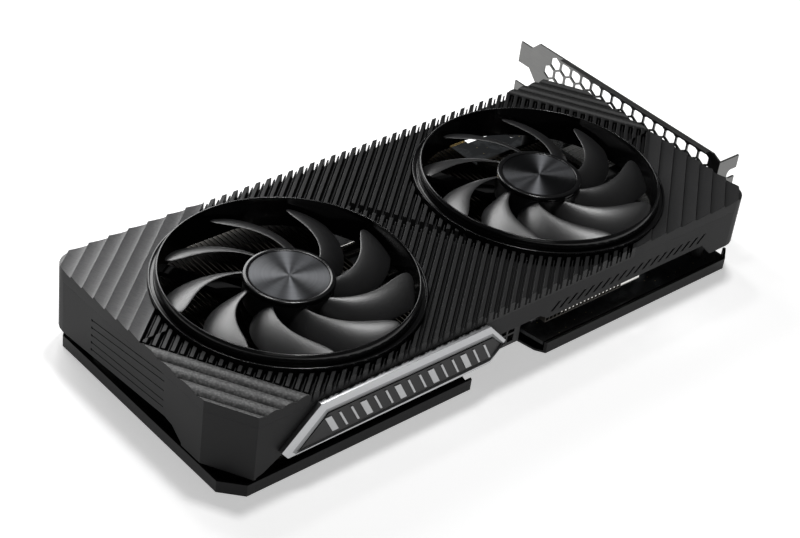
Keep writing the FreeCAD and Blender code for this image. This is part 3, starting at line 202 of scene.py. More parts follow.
# ---------------------------------------------------------------- finishes
class Surface(Net):
    """The node tree of one material, with the patterns that its finishes share."""

    def __init__(self, name: str) -> None:
        """Starts an empty material.

        Args:
            name: the material's name.
        """
        self.material = bpy.data.materials.new(name)
        self.material.use_nodes = True
        super().__init__(self.material.node_tree)
        self.tree.nodes.clear()
        self.place = self.node("ShaderNodeTexCoord", out="Object")

    def turned(self, degrees: float, stretch: tuple[float, float, float] = (1, 1, 1),
               centre: Point = (0, 0)) -> Wire:
        """Object coordinates turned about Z round a centre, then stretched.

        Args:
            degrees: angle of the pattern's own X axis.
            stretch: factor on each turned axis.
            centre: the point that becomes the pattern's origin.

        Returns:
            The coordinates.
        """
        moved = self.vector("SUBTRACT", self.place, (*centre, 0))
        spun = self.node("ShaderNodeVectorRotate", {"rotation_type": "Z_AXIS"},
                         {"Vector": moved, "Angle": math.radians(-degrees)})
        return self.vector("MULTIPLY", spun, stretch)

    def noise(self, size_mm: float, detail: float = 2.0, roughness: float = 0.5,
              where: Wire | None = None) -> Wire:
        """Fractal noise with features of about size_mm.

        Args:
            size_mm: spacing of the largest features.
            detail: octaves beyond the first.
            roughness: weight of the fine octaves.
            where: coordinates, else the object's own.

        Returns:
            A value round 0.5.
        """
        values = {"Vector": where or self.place, "Scale": 1.0 / (size_mm * MM), "Detail": detail,
                  "Roughness": roughness}
        return self.node("ShaderNodeTexNoise", None, values)

    def cells(self, size_mm: float, feature: str = "F1", where: Wire | None = None) -> Wire:
        """Distance field of a Voronoi pattern, in cell widths."""
        return self.node("ShaderNodeTexVoronoi", {"feature": feature},
                         {"Vector": where or self.place, "Scale": 1.0 / (size_mm * MM)})

    def soft_edges(self, radius_mm: float) -> Wire:
        """Normal that rounds the edges over by a small radius."""
        return self.node("ShaderNodeBevel", {"samples": 4}, {"Radius": radius_mm * MM})

    def edge_mask(self, normal: Wire, gain: float = 6.0) -> Wire:
        """Near one along the edges that soft_edges rounds, else nought."""
        flat = self.node("ShaderNodeNewGeometry", out="True Normal")
        return ((1.0 - self.vector("DOT_PRODUCT", normal, flat)) * gain).at_most(1.0).at_least(0.0)

    def bump(self, height: Wire, depth_mm: float, normal: Wire | None = None) -> Wire:
        """Bump normal from a height between nought and one.

        Args:
            height: the pattern.
            depth_mm: what a height of one stands for.
            normal: the normal that is disturbed.

        Returns:
            The normal.
        """
        values = {"Height": height, "Distance": depth_mm * MM, "Strength": 1.0}
        if normal is not None:
            values["Normal"] = normal
        return self.node("ShaderNodeBump", None, values)

    def blend(self, amount: Wire | float, first: "Wire | Colour", second: "Wire | Colour") -> Wire:
        """A colour that goes from first to second as amount goes from nought to one."""
        return self.node("ShaderNodeMix", {"data_type": "RGBA"}, {0: amount, 6: first, 7: second}, 2)

    def done(self, sockets: dict) -> bpy.types.Material:
        """Adds the shader and the output.

        Args:
            sockets: values or wires of the Principled shader's inputs, by name.

        Returns:
            The finished material.
        """
        shader = self.node("ShaderNodeBsdfPrincipled", None, sockets)
        self.node("ShaderNodeOutputMaterial", None, {"Surface": shader})
        return self.material


@dataclass(frozen=True)
class Finish:
    """A finish that can be laid on any piece."""

    name: str

    def build(self) -> bpy.types.Material:
        """The material, made the first time it is asked for."""
        known = bpy.data.materials.get("finish_" + self.name)
        return known or self.paint(Surface("finish_" + self.name))

    def shade(self, factor: float) -> Colour:
        """The finish's colour made darker or lighter, no channel above one."""
        return tuple(min(1.0, channel * factor) for channel in self.colour)

    def paint(self, surface: Surface) -> bpy.types.Material:
        """Fills in the node tree; each kind of finish has its own way."""
        raise NotImplementedError


@dataclass(frozen=True)
class Moulded(Finish):
    """Injection-moulded plastic with a spark-eroded grain and edges painted lighter, part wear and part painted
    highlight.
    """

    colour: Colour = (0.020, 0.020, 0.021)
    rough: float = 0.5
    grain_mm: float = 0.28
    grain_depth: float = 0.012
    edge_mm: float = 0.25
    edge_light: float = 1.8
    cloud: float = 0.12
    gloss: float = 0.5

    def paint(self, surface: Surface) -> bpy.types.Material:
        """Fills in the node tree.

        Args:
            surface: the empty material.

        Returns:
            The finished material.
        """
        grain = surface.noise(self.grain_mm, 3.0, 0.6)
        cloud = surface.noise(38.0, 3.0)
        edge = surface.soft_edges(self.edge_mm)
        # edges painted lighter in patches: part handled wear, part painted highlight
        edge_wear_and_highlight = surface.edge_mask(edge) * surface.noise(3.0, 2.0).smooth(0.35, 0.7)
        dark = self.shade(1 - self.cloud)
        light = self.shade(1 + self.cloud)
        bright = self.shade(self.edge_light)
        base = surface.blend(cloud * 0.6 + grain * 0.4, dark, light)
        return surface.done({
            "Base Color": surface.blend(edge_wear_and_highlight, base, bright),
            "Roughness": (cloud - 0.5) * 0.14 + (grain - 0.5) * 0.16 + self.rough,
            "Specular IOR Level": self.gloss,
            "Normal": surface.bump(grain, self.grain_depth, edge)})


@dataclass(frozen=True)
class Streaked(Finish):
    """Satin paint with fine streaks drawn across the piece in one direction."""

    colour: Colour = (0.16, 0.16, 0.163)
    rough: float = 0.38
    angle: float = -50.0
    streak: float = 0.22
    pitch_mm: float = 0.5
    gloss: float = 0.5

    def paint(self, surface: Surface) -> bpy.types.Material:
        """Fills in the node tree.

        Args:
            surface: the empty material.

        Returns:
            The finished material.
        """
        along = surface.turned(self.angle, (0.035, 1.0, 1.0))
        streaks = surface.noise(self.pitch_mm, 3.0, 0.65, along)
        grain = surface.noise(0.2, 2.0)
        cloud = surface.noise(26.0, 2.0)
        edge = surface.soft_edges(0.2)
        dark = self.shade(1 - self.streak)
        light = self.shade(1 + self.streak)
        return surface.done({
            "Base Color": surface.blend((streaks * 0.75 + cloud * 0.25).smooth(0.3, 0.7), dark, light),
            "Roughness": (streaks - 0.5) * 0.3 + (cloud - 0.5) * 0.1 + self.rough,
            "Specular IOR Level": self.gloss,
            "Normal": surface.bump(streaks * 0.8 + grain * 0.2, 0.02, edge)})


@dataclass(frozen=True)
class Leathery(Finish):
    """Coarse grained plastic, like pressed leather."""

    colour: Colour = (0.10, 0.10, 0.10)
    rough: float = 0.5
    pebble_mm: float = 0.85
    depth: float = 0.09
    gloss: float = 0.5

    def paint(self, surface: Surface) -> bpy.types.Material:
        """Fills in the node tree.

        Args:
            surface: the empty material.

        Returns:
            The finished material.
        """
        warped = surface.noise(self.pebble_mm * 1.6, 2.0)
        pebbles = surface.cells(self.pebble_mm, "SMOOTH_F1").smooth(0.05, 0.75)
        fine = surface.noise(self.pebble_mm * 0.45, 4.0, 0.7)
        height = (1.0 - pebbles) * 0.5 + fine * 0.35 + warped * 0.15
        edge = surface.soft_edges(0.25)
        dark = self.shade(0.55)
        light = self.shade(1.35)
        return surface.done({
            "Base Color": surface.blend(height.smooth(0.25, 0.75), dark, light),
            "Roughness": (fine - 0.5) * 0.2 + self.rough,
            "Specular IOR Level": self.gloss,
            "Normal": surface.bump(height, self.depth, edge)})


@dataclass(frozen=True)
class Glossy(Finish):
    """Polished plastic with a faint orange peel."""

    colour: Colour = (0.006, 0.006, 0.0065)
    rough: float = 0.18
    peel_mm: float = 2.4

    def paint(self, surface: Surface) -> bpy.types.Material:
        """Fills in the node tree.

        Args:
            surface: the empty material.

        Returns:
            The finished material.
        """
        peel = surface.noise(self.peel_mm, 1.0)
        dust = surface.noise(0.35, 3.0, 0.7).smooth(0.62, 0.78)
        light = self.shade(1.7)
        return surface.done({
            "Base Color": surface.blend(dust * 0.5, self.colour, light),
            "Roughness": dust * 0.12 + (peel - 0.5) * 0.08 + self.rough,
            "Specular IOR Level": 0.4,
            "Normal": surface.bump(peel, 0.01, surface.soft_edges(0.15))})


@dataclass(frozen=True)
class BladeSatin(Finish):
    """Satin plastic of the fan blades, whose grain breaks the highlights up."""

    colour: Colour = (0.010, 0.010, 0.0105)
    rough: float = 0.36
    grain_mm: float = 0.42
    depth: float = 0.05
    gloss: float = 0.8

    def paint(self, surface: Surface) -> bpy.types.Material:
        """Fills in the node tree.

        Args:
            surface: the empty material.

        Returns:
            The finished material.
        """
        grain = surface.noise(self.grain_mm, 3.0, 0.7)
        sparkle = surface.cells(self.grain_mm * 0.8)
        cloud = surface.noise(14.0, 2.0)
        light = self.shade(1.5)
        return surface.done({
            "Base Color": surface.blend((grain * 0.6 + cloud * 0.4).smooth(0.35, 0.65), self.colour, light),
            "Roughness": (grain - 0.5) * 0.3 + (sparkle - 0.5) * 0.08 + self.rough,
            "Specular IOR Level": self.gloss,
            "Normal": surface.bump(grain * 0.7 + sparkle * 0.3, self.depth)})


@dataclass(frozen=True)
class Brushed(Finish):
    """Metal brushed in one direction."""

    colour: Colour = (0.60, 0.60, 0.59)
    rough: float = 0.32
    angle: float = 0.0
    across: tuple[float, float, float] = (0.03, 1.0, 1.0)
    line_mm: float = 0.3
    depth: float = 0.01
    edge_mm: float = 0.2
    stain: float = 0.16

    def paint(self, surface: Surface) -> bpy.types.Material:
        """Fills in the node tree.

        Args:
            surface: the empty material.

        Returns:
            The finished material.
        """
        lines = surface.noise(self.line_mm, 3.0, 0.7, surface.turned(self.angle, self.across))
        cloud = surface.noise(16.0, 4.0, 0.6)
        edge = surface.soft_edges(self.edge_mm)
        # edges painted lighter all round: part wear, part painted highlight
        edge_wear_and_highlight = surface.edge_mask(edge, 4.0)
        dark = self.shade(1 - self.stain)
        light = self.shade(1 + self.stain)
        base = surface.blend(lines * 0.6 + cloud * 0.4, dark, light)
        return surface.done({
            "Base Color": surface.blend(edge_wear_and_highlight * 0.6, base, self.shade(1.35)),
            "Metallic": 1.0,
            "Roughness": (lines - 0.5) * 0.3 + (cloud - 0.5) * 0.12 + self.rough,
            "Normal": surface.bump(lines, self.depth, edge)})


@dataclass(frozen=True)
class TurnedMetal(Finish):
    """Metal turned on a lathe: fine rings that draw the highlights out into cones."""

    centre: Point = (0.0, 0.0)
    colour: Colour = (0.075, 0.077, 0.082)
    rough: float = 0.34
    tilt: float = 0.06
    drawn_out: float = 0.93
    rim: float = 0.015

    def paint(self, surface: Surface) -> bpy.types.Material:
        """Fills in the node tree.

        Args:
            surface: the empty material.

        Returns:
            The finished material.
        """
        spot = surface.turned(0.0, centre=self.centre)
        x, y, _ = surface.split(spot)
        flat = surface.join(x, y, 0.0)
        radius = surface.vector("LENGTH", flat)
        rings = surface.node("ShaderNodeTexNoise", {"noise_dimensions": "1D"},
                             {"W": radius, "Scale": 1.0 / (0.5 * MM), "Detail": 2.0})
        broad = surface.node("ShaderNodeTexNoise", {"noise_dimensions": "1D"},
                             {"W": radius, "Scale": 1.0 / (1.3 * MM), "Detail": 3.0})
        outward = surface.vector("NORMALIZE", flat)
        leaning = surface.vector("SCALE", outward, scale=(rings - 0.5) * self.tilt)
        up = surface.vector("NORMALIZE", surface.vector("ADD", leaning, (0.0, 0.0, 1.0)))
        world = surface.node("ShaderNodeVectorTransform", {
            "vector_type": "NORMAL", "convert_from": "OBJECT", "convert_to": "WORLD"}, {0: up})
        edge = radius.smooth(self.rim * 0.97, self.rim)
        dark = self.shade(0.75)
        light = self.shade(1.2)
        return surface.done({
            "Base Color": surface.blend(edge, surface.blend(broad, dark, light), (0.01, 0.01, 0.01)),
            "Metallic": 1.0,
            "Roughness": (rings - 0.5) * 0.1 + self.rough,
            "Anisotropic": self.drawn_out,
            "Anisotropic Rotation": 0.25,
            "Normal": world})


@dataclass(frozen=True)
class BoardMask(Finish):
    """Solder mask over copper tracks, with small plated holes."""

    colour: Colour = (0.008, 0.009, 0.010)
    track: Colour = (0.020, 0.022, 0.024)
    track_mm: float = 2.6

    def paint(self, surface: Surface) -> bpy.types.Material:
        """Fills in the node tree.

        Args:
            surface: the empty material.

        Returns:
            The finished material.
        """
        grid = surface.node("ShaderNodeTexVoronoi", {"distance": "CHEBYCHEV", "feature": "F1"}, {
            "Vector": surface.place, "Scale": 1.0 / (self.track_mm * MM), "Randomness": 0.75})
        tracks = ((grid * 5.0).fraction() < 0.45) * (surface.noise(9.0, 1.0) > 0.46)
        holes = surface.cells(3.1) < 0.085
        glaze = surface.noise(1.2, 3.0)
        base = surface.blend(tracks, self.colour, self.track)
        return surface.done({
            "Base Color": surface.blend(holes, base, (0.42, 0.34, 0.18)),
            "Metallic": holes * 0.9,
            "Roughness": (glaze - 0.5) * 0.15 + 0.36,
            "Specular IOR Level": 0.3,
            "Normal": surface.bump(tracks * 0.8 + glaze * 0.2, 0.02, surface.soft_edges(0.15))})


@dataclass(frozen=True)
class Rolled(Finish):
    """Thin rolled sheet, as the cooler's fins are stamped from."""

    colour: Colour = (0.055, 0.050, 0.043)
    rough: float = 0.42

    def paint(self, surface: Surface) -> bpy.types.Material:
        """Fills in the node tree.

        Args:
            surface: the empty material.

        Returns:
            The finished material.
        """
        mill = surface.noise(0.5, 3.0, 0.6, surface.turned(90.0, (0.05, 1.0, 1.0)))
        tarnish = surface.noise(7.0, 4.0, 0.65)
        dark = self.shade(0.7)
        return surface.done({
            "Base Color": surface.blend(tarnish.smooth(0.35, 0.7), self.colour, dark),
            "Metallic": 0.95,
            "Roughness": (mill - 0.5) * 0.2 + self.rough,
            "Normal": surface.bump(mill, 0.008)})


@dataclass(frozen=True)
class PowderCoat(Finish):
    """Baked powder paint on sheet metal."""

    colour: Colour = (0.005, 0.005, 0.0055)
    rough: float = 0.48
    pebble_mm: float = 0.5
    gloss: float = 0.2

    def paint(self, surface: Surface) -> bpy.types.Material:
        """Fills in the node tree.

        Args:
            surface: the empty material.

        Returns:
            The finished material.
        """
        pebble = surface.cells(self.pebble_mm, "SMOOTH_F1")
        cloud = surface.noise(30.0, 3.0)
        edge = surface.soft_edges(0.35)
        # edges painted lighter in patches: part worn-through coat, part painted highlight
        edge_wear_and_highlight = surface.edge_mask(edge, 3.0) * surface.noise(5.0, 3.0).smooth(0.4, 0.7)
        light = self.shade(1.4)
        base = surface.blend(cloud, self.colour, light)
        return surface.done({
            "Base Color": surface.blend(edge_wear_and_highlight * 0.5, base, (0.04, 0.04, 0.04)),
            "Roughness": (cloud - 0.5) * 0.14 + (pebble - 0.5) * 0.1 + self.rough,
            "Specular IOR Level": self.gloss,
            "Normal": surface.bump(pebble, 0.03, edge)})


@dataclass(frozen=True)
class Wound(Finish):
    """Enamelled copper wire wound in close turns."""

    colour: Colour = (0.45, 0.17, 0.07)

    def paint(self, surface: Surface) -> bpy.types.Material:
        """Fills in the node tree.

        Args:
            surface: the empty material.

        Returns:
            The finished material.
        """
        _, _, z = surface.split(surface.place)
        turns = ((z * (2 * math.pi / (0.35 * MM))).sine() + 1.0) * 0.5
        shade = surface.noise(2.0, 2.0)
        return surface.done({
            "Base Color": surface.blend(turns * 0.7 + shade * 0.3, self.shade(0.4), self.colour),
            "Metallic": 0.7,
            "Roughness": (shade - 0.5) * 0.2 + 0.35,
            "Normal": surface.bump(turns, 0.15)})


@dataclass(frozen=True)
class Ground(Finish):
    """Matt paper sweep that the card lies on."""

    colour: Colour = (0.93, 0.93, 0.93)
    glow: float = 0.52

    def paint(self, surface: Surface) -> bpy.types.Material:
        """Fills in the node tree.

        Args:
            surface: the empty material.

        Returns:
            The finished material.
        """
        fibre = surface.noise(1.5, 3.0)
        darker = self.shade(0.985)
        paper = surface.blend(fibre, darker, self.colour)
        return surface.done({"Base Color": paper, "Roughness": 0.9, "Emission Color": paper,
                             "Emission Strength": self.glow, "Normal": surface.bump(fibre, 0.02)})


# ---------------------------------------------------------------- the card's measures
class Side(Enum):
    """Which of the two fans."""

    LEFT = "left"
    RIGHT = "right"


def box_mm(node: str) -> tuple[Vector, Vector]:
    """The lowest and highest corner of a CAD node's box, in millimetres."""
    low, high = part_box(node)
    return low / MM, high / MM


@dataclass(frozen=True)
class Layout:
    """Where things are on the card, in millimetres, as the CAD nodes give it."""

    closed_end: float
    open_end: float
    near: float
    far: float
    deck: float
    floor: float
    ring_top: float
    seat: float
    fans: dict[str, Point]
    rib_angle: float = 39.7
    ridge_angle: float = -59.5
    panel_pitch: float = 5.6
    tip_drop: float = 1.0
    cut: Point = (10.0, 17.6)
    round_corner: float = 9.0

    @classmethod
    def from_frame(cls) -> "Layout":
        """Reads the boxes of the CAD nodes.

        Returns:
            The card's layout.
        """
        low, high = box_mm("shroud_shell")
        ribs_low, ribs_high = box_mm("rib_grille")
        ring_low, ring_high = box_mm("fan_ring_left")
        fans = {}
        for side in Side:
            a, b = box_mm("hub_cap_" + side.value)
            fans[side.value] = ((a.x + b.x) / 2, (a.y + b.y) / 2)
        return cls(low.x, high.x, low.y, high.y, ribs_high.z, ribs_low.z, ring_high.z,
                   (ring_high.x - ring_low.x) / 2, fans)

    @property
    def centre(self) -> Point:
        """Middle of the shroud's plan, about which its pattern repeats turned half round."""
        return (self.closed_end + self.open_end) / 2, (self.near + self.far) / 2

    @property
    def tip(self) -> float:
        """Y where the two panels meet on the closed end."""
        return self.centre[1] - self.tip_drop

    def half_turn(self, points: Iterable[Point]) -> list[Point]:
        """The same points turned half round about the centre."""
        cx, cy = self.centre
        return [(2 * cx - x, 2 * cy - y) for x, y in points]

    def stepped(self) -> list[Point]:
        """Plan of the stepped panel in the far left corner."""
        x = self.closed_end + (self.far - self.tip) / math.tan(math.radians(self.rib_angle))
        return [(self.closed_end, self.tip), (x, self.far), (self.closed_end, self.far)]

    def ridged(self) -> list[Point]:
        """Plan of the ridged panel in the near left corner."""
        x = self.closed_end + (self.near - self.tip) / math.tan(math.radians(self.ridge_angle))
        return [(self.closed_end, self.tip), (self.closed_end, self.near), (x, self.near)]

    def seats(self, scratch: "Scratch", gap: float, low: float, high: float) -> list[bpy.types.Object]:
        """Discs that stand for the seats of the two fan rings, to be cut out of a piece.

        Args:
            scratch: what holds them.
            gap: how much wider they are than the rings.
            low: height of their undersides.
            high: height of their tops.

        Returns:
            The two discs.
        """
        return [scratch.hold(prism(circle(c, self.seat + gap), low, high)) for c in self.fans.values()]

    def outline(self) -> list[Point]:
        """Plan of the shroud: two broad cut corners and two rounded ones.

        Returns:
            The corners, counter-clockwise.
        """
        x0, x1, y0, y1 = self.closed_end, self.open_end, self.near, self.far
        r, (cut_x, cut_y) = self.round_corner, self.cut
        arc = [(math.sin(math.radians(a)), math.cos(math.radians(a))) for a in range(0, 91, 10)]
        near_right = [(x1 - r + r * s, y0 + r - r * c) for s, c in arc]
        far_left = [(x0 + r - r * s, y1 - r + r * c) for s, c in arc]
        return [(x0, y0 + cut_y), (x0 + cut_x, y0), *near_right, (x1, y1 - cut_y), (x1 - cut_x, y1), *far_left]


# ---------------------------------------------------------------- meshes
def linked(name: str, data: bpy.types.ID) -> bpy.types.Object:
    """A new object, put in the scene.

    Args:
        name: its name.
        data: its mesh, light or camera.

    Returns:
        The object.
    """
    made = bpy.data.objects.new(name, data)
    bpy.context.scene.collection.objects.link(made)
    return made


def evaluated(holder: bpy.types.Object) -> bpy.types.Mesh:
    """Takes the mesh that an object's modifiers make, and removes the object.

    Args:
        holder: the object.

    Returns:
        A plain mesh.
    """
    depsgraph = bpy.context.evaluated_depsgraph_get()
    mesh = bpy.data.meshes.new_from_object(holder.evaluated_get(depsgraph))
    holder.modifiers.clear()
    bpy.data.objects.remove(holder)
    return mesh


def piece(name: str, mesh: bpy.types.Mesh, finishes: Sequence[bpy.types.Material],
          smooth_degrees: float = 35.0) -> bpy.types.Object:
    """Puts a mesh in the scene with its materials, smooth but for its sharp edges.

    Args:
        name: the piece's name.
        mesh: its mesh, in place.
        finishes: its materials, in the order of the faces' indices; none keeps the mesh's own.
        smooth_degrees: edges sharper than this stay sharp.

    Returns:
        The object.
    """
    if finishes:
        mesh.materials.clear()
        for finish in finishes:
            mesh.materials.append(finish)
    mesh.shade_smooth()
    mesh.set_sharp_from_angle(angle=math.radians(smooth_degrees))
    mesh.name = name
    return linked(name, mesh)


def mesh_from(vertices: Sequence[Sequence[float]], faces: Sequence[Sequence[int]],
              scale: float = MM) -> bpy.types.Mesh:
    """A mesh with its normals turned outwards.

    Args:
        vertices: places, in millimetres unless scale says otherwise.
        faces: rows of vertex numbers.
        scale: factor to metres.

    Returns:
        The mesh.
    """
    mesh = bpy.data.meshes.new("made")
    mesh.from_pydata([Vector(v) * scale for v in vertices], [], faces)
    return tidied(mesh)


def tidied(mesh: bpy.types.Mesh, merge: float = 1e-6) -> bpy.types.Mesh:
    """Merges doubled vertices and turns the normals outwards.

    Args:
        mesh: the mesh that is changed.
        merge: the distance within which vertices are one.

    Returns:
        The same mesh.
    """
    work = bmesh.new()
    work.from_mesh(mesh)
    bmesh.ops.remove_doubles(work, verts=work.verts, dist=merge)
    bmesh.ops.dissolve_degenerate(work, edges=work.edges, dist=merge / 2)
    loose = [v for v in work.verts if not v.link_faces]
    bmesh.ops.delete(work, geom=loose, context="VERTS")
    bmesh.ops.recalc_face_normals(work, faces=work.faces)
    work.to_mesh(mesh)
    work.free()
    return mesh


def lathe(profile: Sequence[Point], centre: Point, segments: int = 144) -> bpy.types.Mesh:
    """Turns a closed profile about an upright axis.

    Args:
        profile: (radius, height) corners in millimetres; a radius of nought closes on the axis.
        centre: the axis's place in millimetres.
        segments: steps round the turn.

    Returns:
        The mesh.
    """
    cx, cy = centre
    vertices, faces, n = [], [], len(profile)
    for k in range(segments):
        a = 2 * math.pi * k / segments
        vertices += [(cx + r * math.cos(a), cy + r * math.sin(a), z) for r, z in profile]
    for k in range(segments):
        here, there = k * n, (k + 1) % segments * n
        faces += [(here + i, here + (i + 1) % n, there + (i + 1) % n, there + i) for i in range(n)]
    return mesh_from(vertices, faces)


def eased(profile: Sequence[tuple[float, float, float]], steps: int = 5) -> list[Point]:
    """Rounds the corners of a closed profile.

    Args:
        profile: (radius, height, rounding) of each corner.
        steps: pieces in each rounded corner.

    Returns:
        The profile's points.
    """
    points: list[Point] = []
    for i, (r, z, rounding) in enumerate(profile):
        corner = Vector((r, z))
        if rounding <= 0:
            points.append((r, z))
            continue
        before = Vector(profile[i - 1][:2]) - corner
        after = Vector(profile[(i + 1) % len(profile)][:2]) - corner
        reach = min(rounding, before.length * 0.49, after.length * 0.49)
        a, b = corner + before.normalized() * reach, corner + after.normalized() * reach
        for k in range(steps + 1):
            t = k / steps
            p = a * (1 - t) ** 2 + corner * 2 * t * (1 - t) + b * t ** 2
            points.append((p.x, p.y))
    return points


def prism(outline: Sequence[Point], low: float, high: float) -> bpy.types.Mesh:
    """Upright prism over a plan outline, all in millimetres.

    Args:
        outline: the plan's corners.
        low: height of its underside.
        high: height of its top.

    Returns:
        The mesh.
    """
    n = len(outline)
    vertices = [(x, y, low) for x, y in outline] + [(x, y, high) for x, y in outline]
    faces = [tuple(range(n)), tuple(range(n, 2 * n))]
    faces += [(i, (i + 1) % n, n + (i + 1) % n, n + i) for i in range(n)]
    return mesh_from(vertices, faces)


CIRCLE_STEPS = 180


def circle(centre: Point, radius: float) -> list[Point]:
    """Points round a circle."""
    turns = (2 * math.pi * k / CIRCLE_STEPS for k in range(CIRCLE_STEPS))
    return [(centre[0] + radius * math.cos(a), centre[1] + radius * math.sin(a)) for a in turns]


class Scratch:
    """Objects that are only there while a piece is being made."""

    def __init__(self) -> None:
        """Starts with none."""
        self.objects: list[bpy.types.Object] = []

    def hold(self, mesh: bpy.types.Mesh) -> bpy.types.Object:
        """Puts a mesh in the scene for a while."""
        self.objects.append(linked("scratch", mesh))
        return self.objects[-1]

    def clear(self) -> None:
        """Takes them all away."""
        for made in self.objects:
            bpy.data.objects.remove(made)
        self.objects.clear()


class Recipe(Net):
    """A Geometry Nodes tree with named inputs, run once to make a plain mesh."""

    KINDS = {float: "NodeSocketFloat", int: "NodeSocketInt", bpy.types.Object: "NodeSocketObject",
             bpy.types.Material: "NodeSocketMaterial"}

    def __init__(self, name: str) -> None:
        """Starts an empty tree.

        Args:
            name: the tree's name.
        """
        super().__init__(bpy.data.node_groups.new(name, "GeometryNodeTree"))
        self.tree.interface.new_socket("Geometry", in_out="OUTPUT", socket_type="NodeSocketGeometry")
        self.source = self.tree.nodes.new("NodeGroupInput")
        self.inputs: dict[str, tuple[str, object]] = {}

    def input(self, name: str, value: object) -> Wire:
        """Adds a named input.

        Args:
            name: what it is called.
            value: a number, an object or a material, given to the modifier.

        Returns:
            The input, as a wire.
        """
        kind = next(k for t, k in self.KINDS.items() if isinstance(value, t))
        socket = self.tree.interface.new_socket(name, in_out="INPUT", socket_type=kind)
        self.inputs[name] = (socket.identifier, value)
        return Wire(self, self.source, self.source.outputs[name])

    def solid_of(self, thing: Wire) -> Wire:
        """The geometry of an object input."""
        relative = {"transform_space": "RELATIVE"}
        return self.node("GeometryNodeObjectInfo", relative, {"Object": thing}, "Geometry")

    def common(self, *solids: Wire) -> Wire:
        """What several solids share."""
        return self.node("GeometryNodeMeshBoolean", {"operation": "INTERSECT", "solver": "EXACT"},
                         {"Mesh 2": list(solids)}, "Mesh")

    def less(self, solid: Wire, *cutters: Wire) -> Wire:
        """A solid with others cut out of it."""
        return self.node("GeometryNodeMeshBoolean", {"operation": "DIFFERENCE", "solver": "EXACT"},
                         {"Mesh 1": solid, "Mesh 2": list(cutters)}, "Mesh")

    def together(self, *parts: Wire) -> Wire:
        """Several geometries as one."""
        return self.node("GeometryNodeJoinGeometry", None, {0: list(parts)})

    def moved_to(self, geometry: Wire, position: Wire, selection: Wire | bool = True) -> Wire:
        """Geometry with its points put elsewhere."""
        return self.node("GeometryNodeSetPosition", None,
                         {"Geometry": geometry, "Selection": selection, "Position": position})

    def copies(self, points: Wire, instance: Wire, **changes: Wire) -> Wire:
        """An instance on each point, with its Rotation or Scale if one is given."""
        values = {"Points": points, "Instance": instance, **changes}
        return self.node("GeometryNodeInstanceOnPoints", None, values)

    def placed(self, geometry: Wire, **changes: object) -> Wire:
        """Geometry moved by a Translation, or turned by a Rotation and then moved."""
        return self.node("GeometryNodeTransform", None, {"Geometry": geometry, **changes})

    def block(self, rows: int = 2) -> Wire:
        """A unit cube round the origin, with a number of vertices along Y."""
        return self.node("GeometryNodeMeshCube", None, {
            "Size": (1.0, 1.0, 1.0), "Vertices X": 2, "Vertices Y": rows, "Vertices Z": 2})

    def position(self) -> tuple[Wire, Wire, Wire]:
        """The parts of each point's place."""
        return self.split(self.node("GeometryNodeInputPosition"))

    def run(self, geometry: Wire, *finishes: tuple[Wire, Wire | bool]) -> bpy.types.Mesh:
        """Ends the tree, runs it and takes its result.

        Args:
            geometry: what the tree has made.
            finishes: each material with the faces that it covers, later ones over earlier ones.

        Returns:
            The plain mesh, in metres.
        """
        dressed = self.node("GeometryNodeRealizeInstances", None, {"Geometry": geometry})
        for material, faces in finishes:
            dressed = self.node("GeometryNodeSetMaterial", None, {
                "Geometry": dressed, "Selection": faces, "Material": material})
        self.node("NodeGroupOutput", None, {"Geometry": dressed})
        holder = linked(self.tree.name, bpy.data.meshes.new(self.tree.name))
        modifier = holder.modifiers.new(self.tree.name, "NODES")
        modifier.node_group = self.tree
        for identifier, value in self.inputs.values():
            modifier[identifier] = value
        return evaluated(holder)


def publish(made: bpy.types.Object, body: str, slot: str, *nodes: str) -> bpy.types.Object:
    """Hands a finished piece to the frame.

    Args:
        made: the piece.
        body: the CAD body that it moves with.
        slot: the record's material slot; not used.
        nodes: the CAD nodes that it stands for.

    Returns:
        The piece.
    """
    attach(made, body)
    if nodes:
        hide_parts(*nodes)
    made.data.calc_loop_triangles()
    LOG.info("%s: %d triangles on %s", made.name, len(made.data.loop_triangles), body)
    return made


def joined(meshes: Sequence[bpy.types.Mesh]) -> bpy.types.Mesh:
    """Several meshes as one, with the first one's materials.

    Args:
        meshes: the meshes; the first one is changed.

    Returns:
        The first mesh.
    """
    work = bmesh.new()
    for mesh in meshes:
        work.from_mesh(mesh)
    result = meshes[0]
    work.to_mesh(result)
    work.free()
    return result


BEVEL_DEGREES = 40.0


def bevelled(mesh: bpy.types.Mesh, width_mm: float, segments: int = 2) -> bpy.types.Mesh:
    """Rounds the edges sharper than BEVEL_DEGREES with a Bevel modifier.

    Args:
        mesh: the mesh.
        width_mm: width of the rounding.
        segments: its steps.

    Returns:
        A new mesh.
    """
    holder = linked("scratch", mesh)
    bevel = holder.modifiers.new("edges", "BEVEL")
    bevel.width, bevel.segments, bevel.limit_method = width_mm * MM, segments, "ANGLE"
    bevel.angle_limit, bevel.use_clamp_overlap = math.radians(BEVEL_DEGREES), False
    return evaluated(holder)


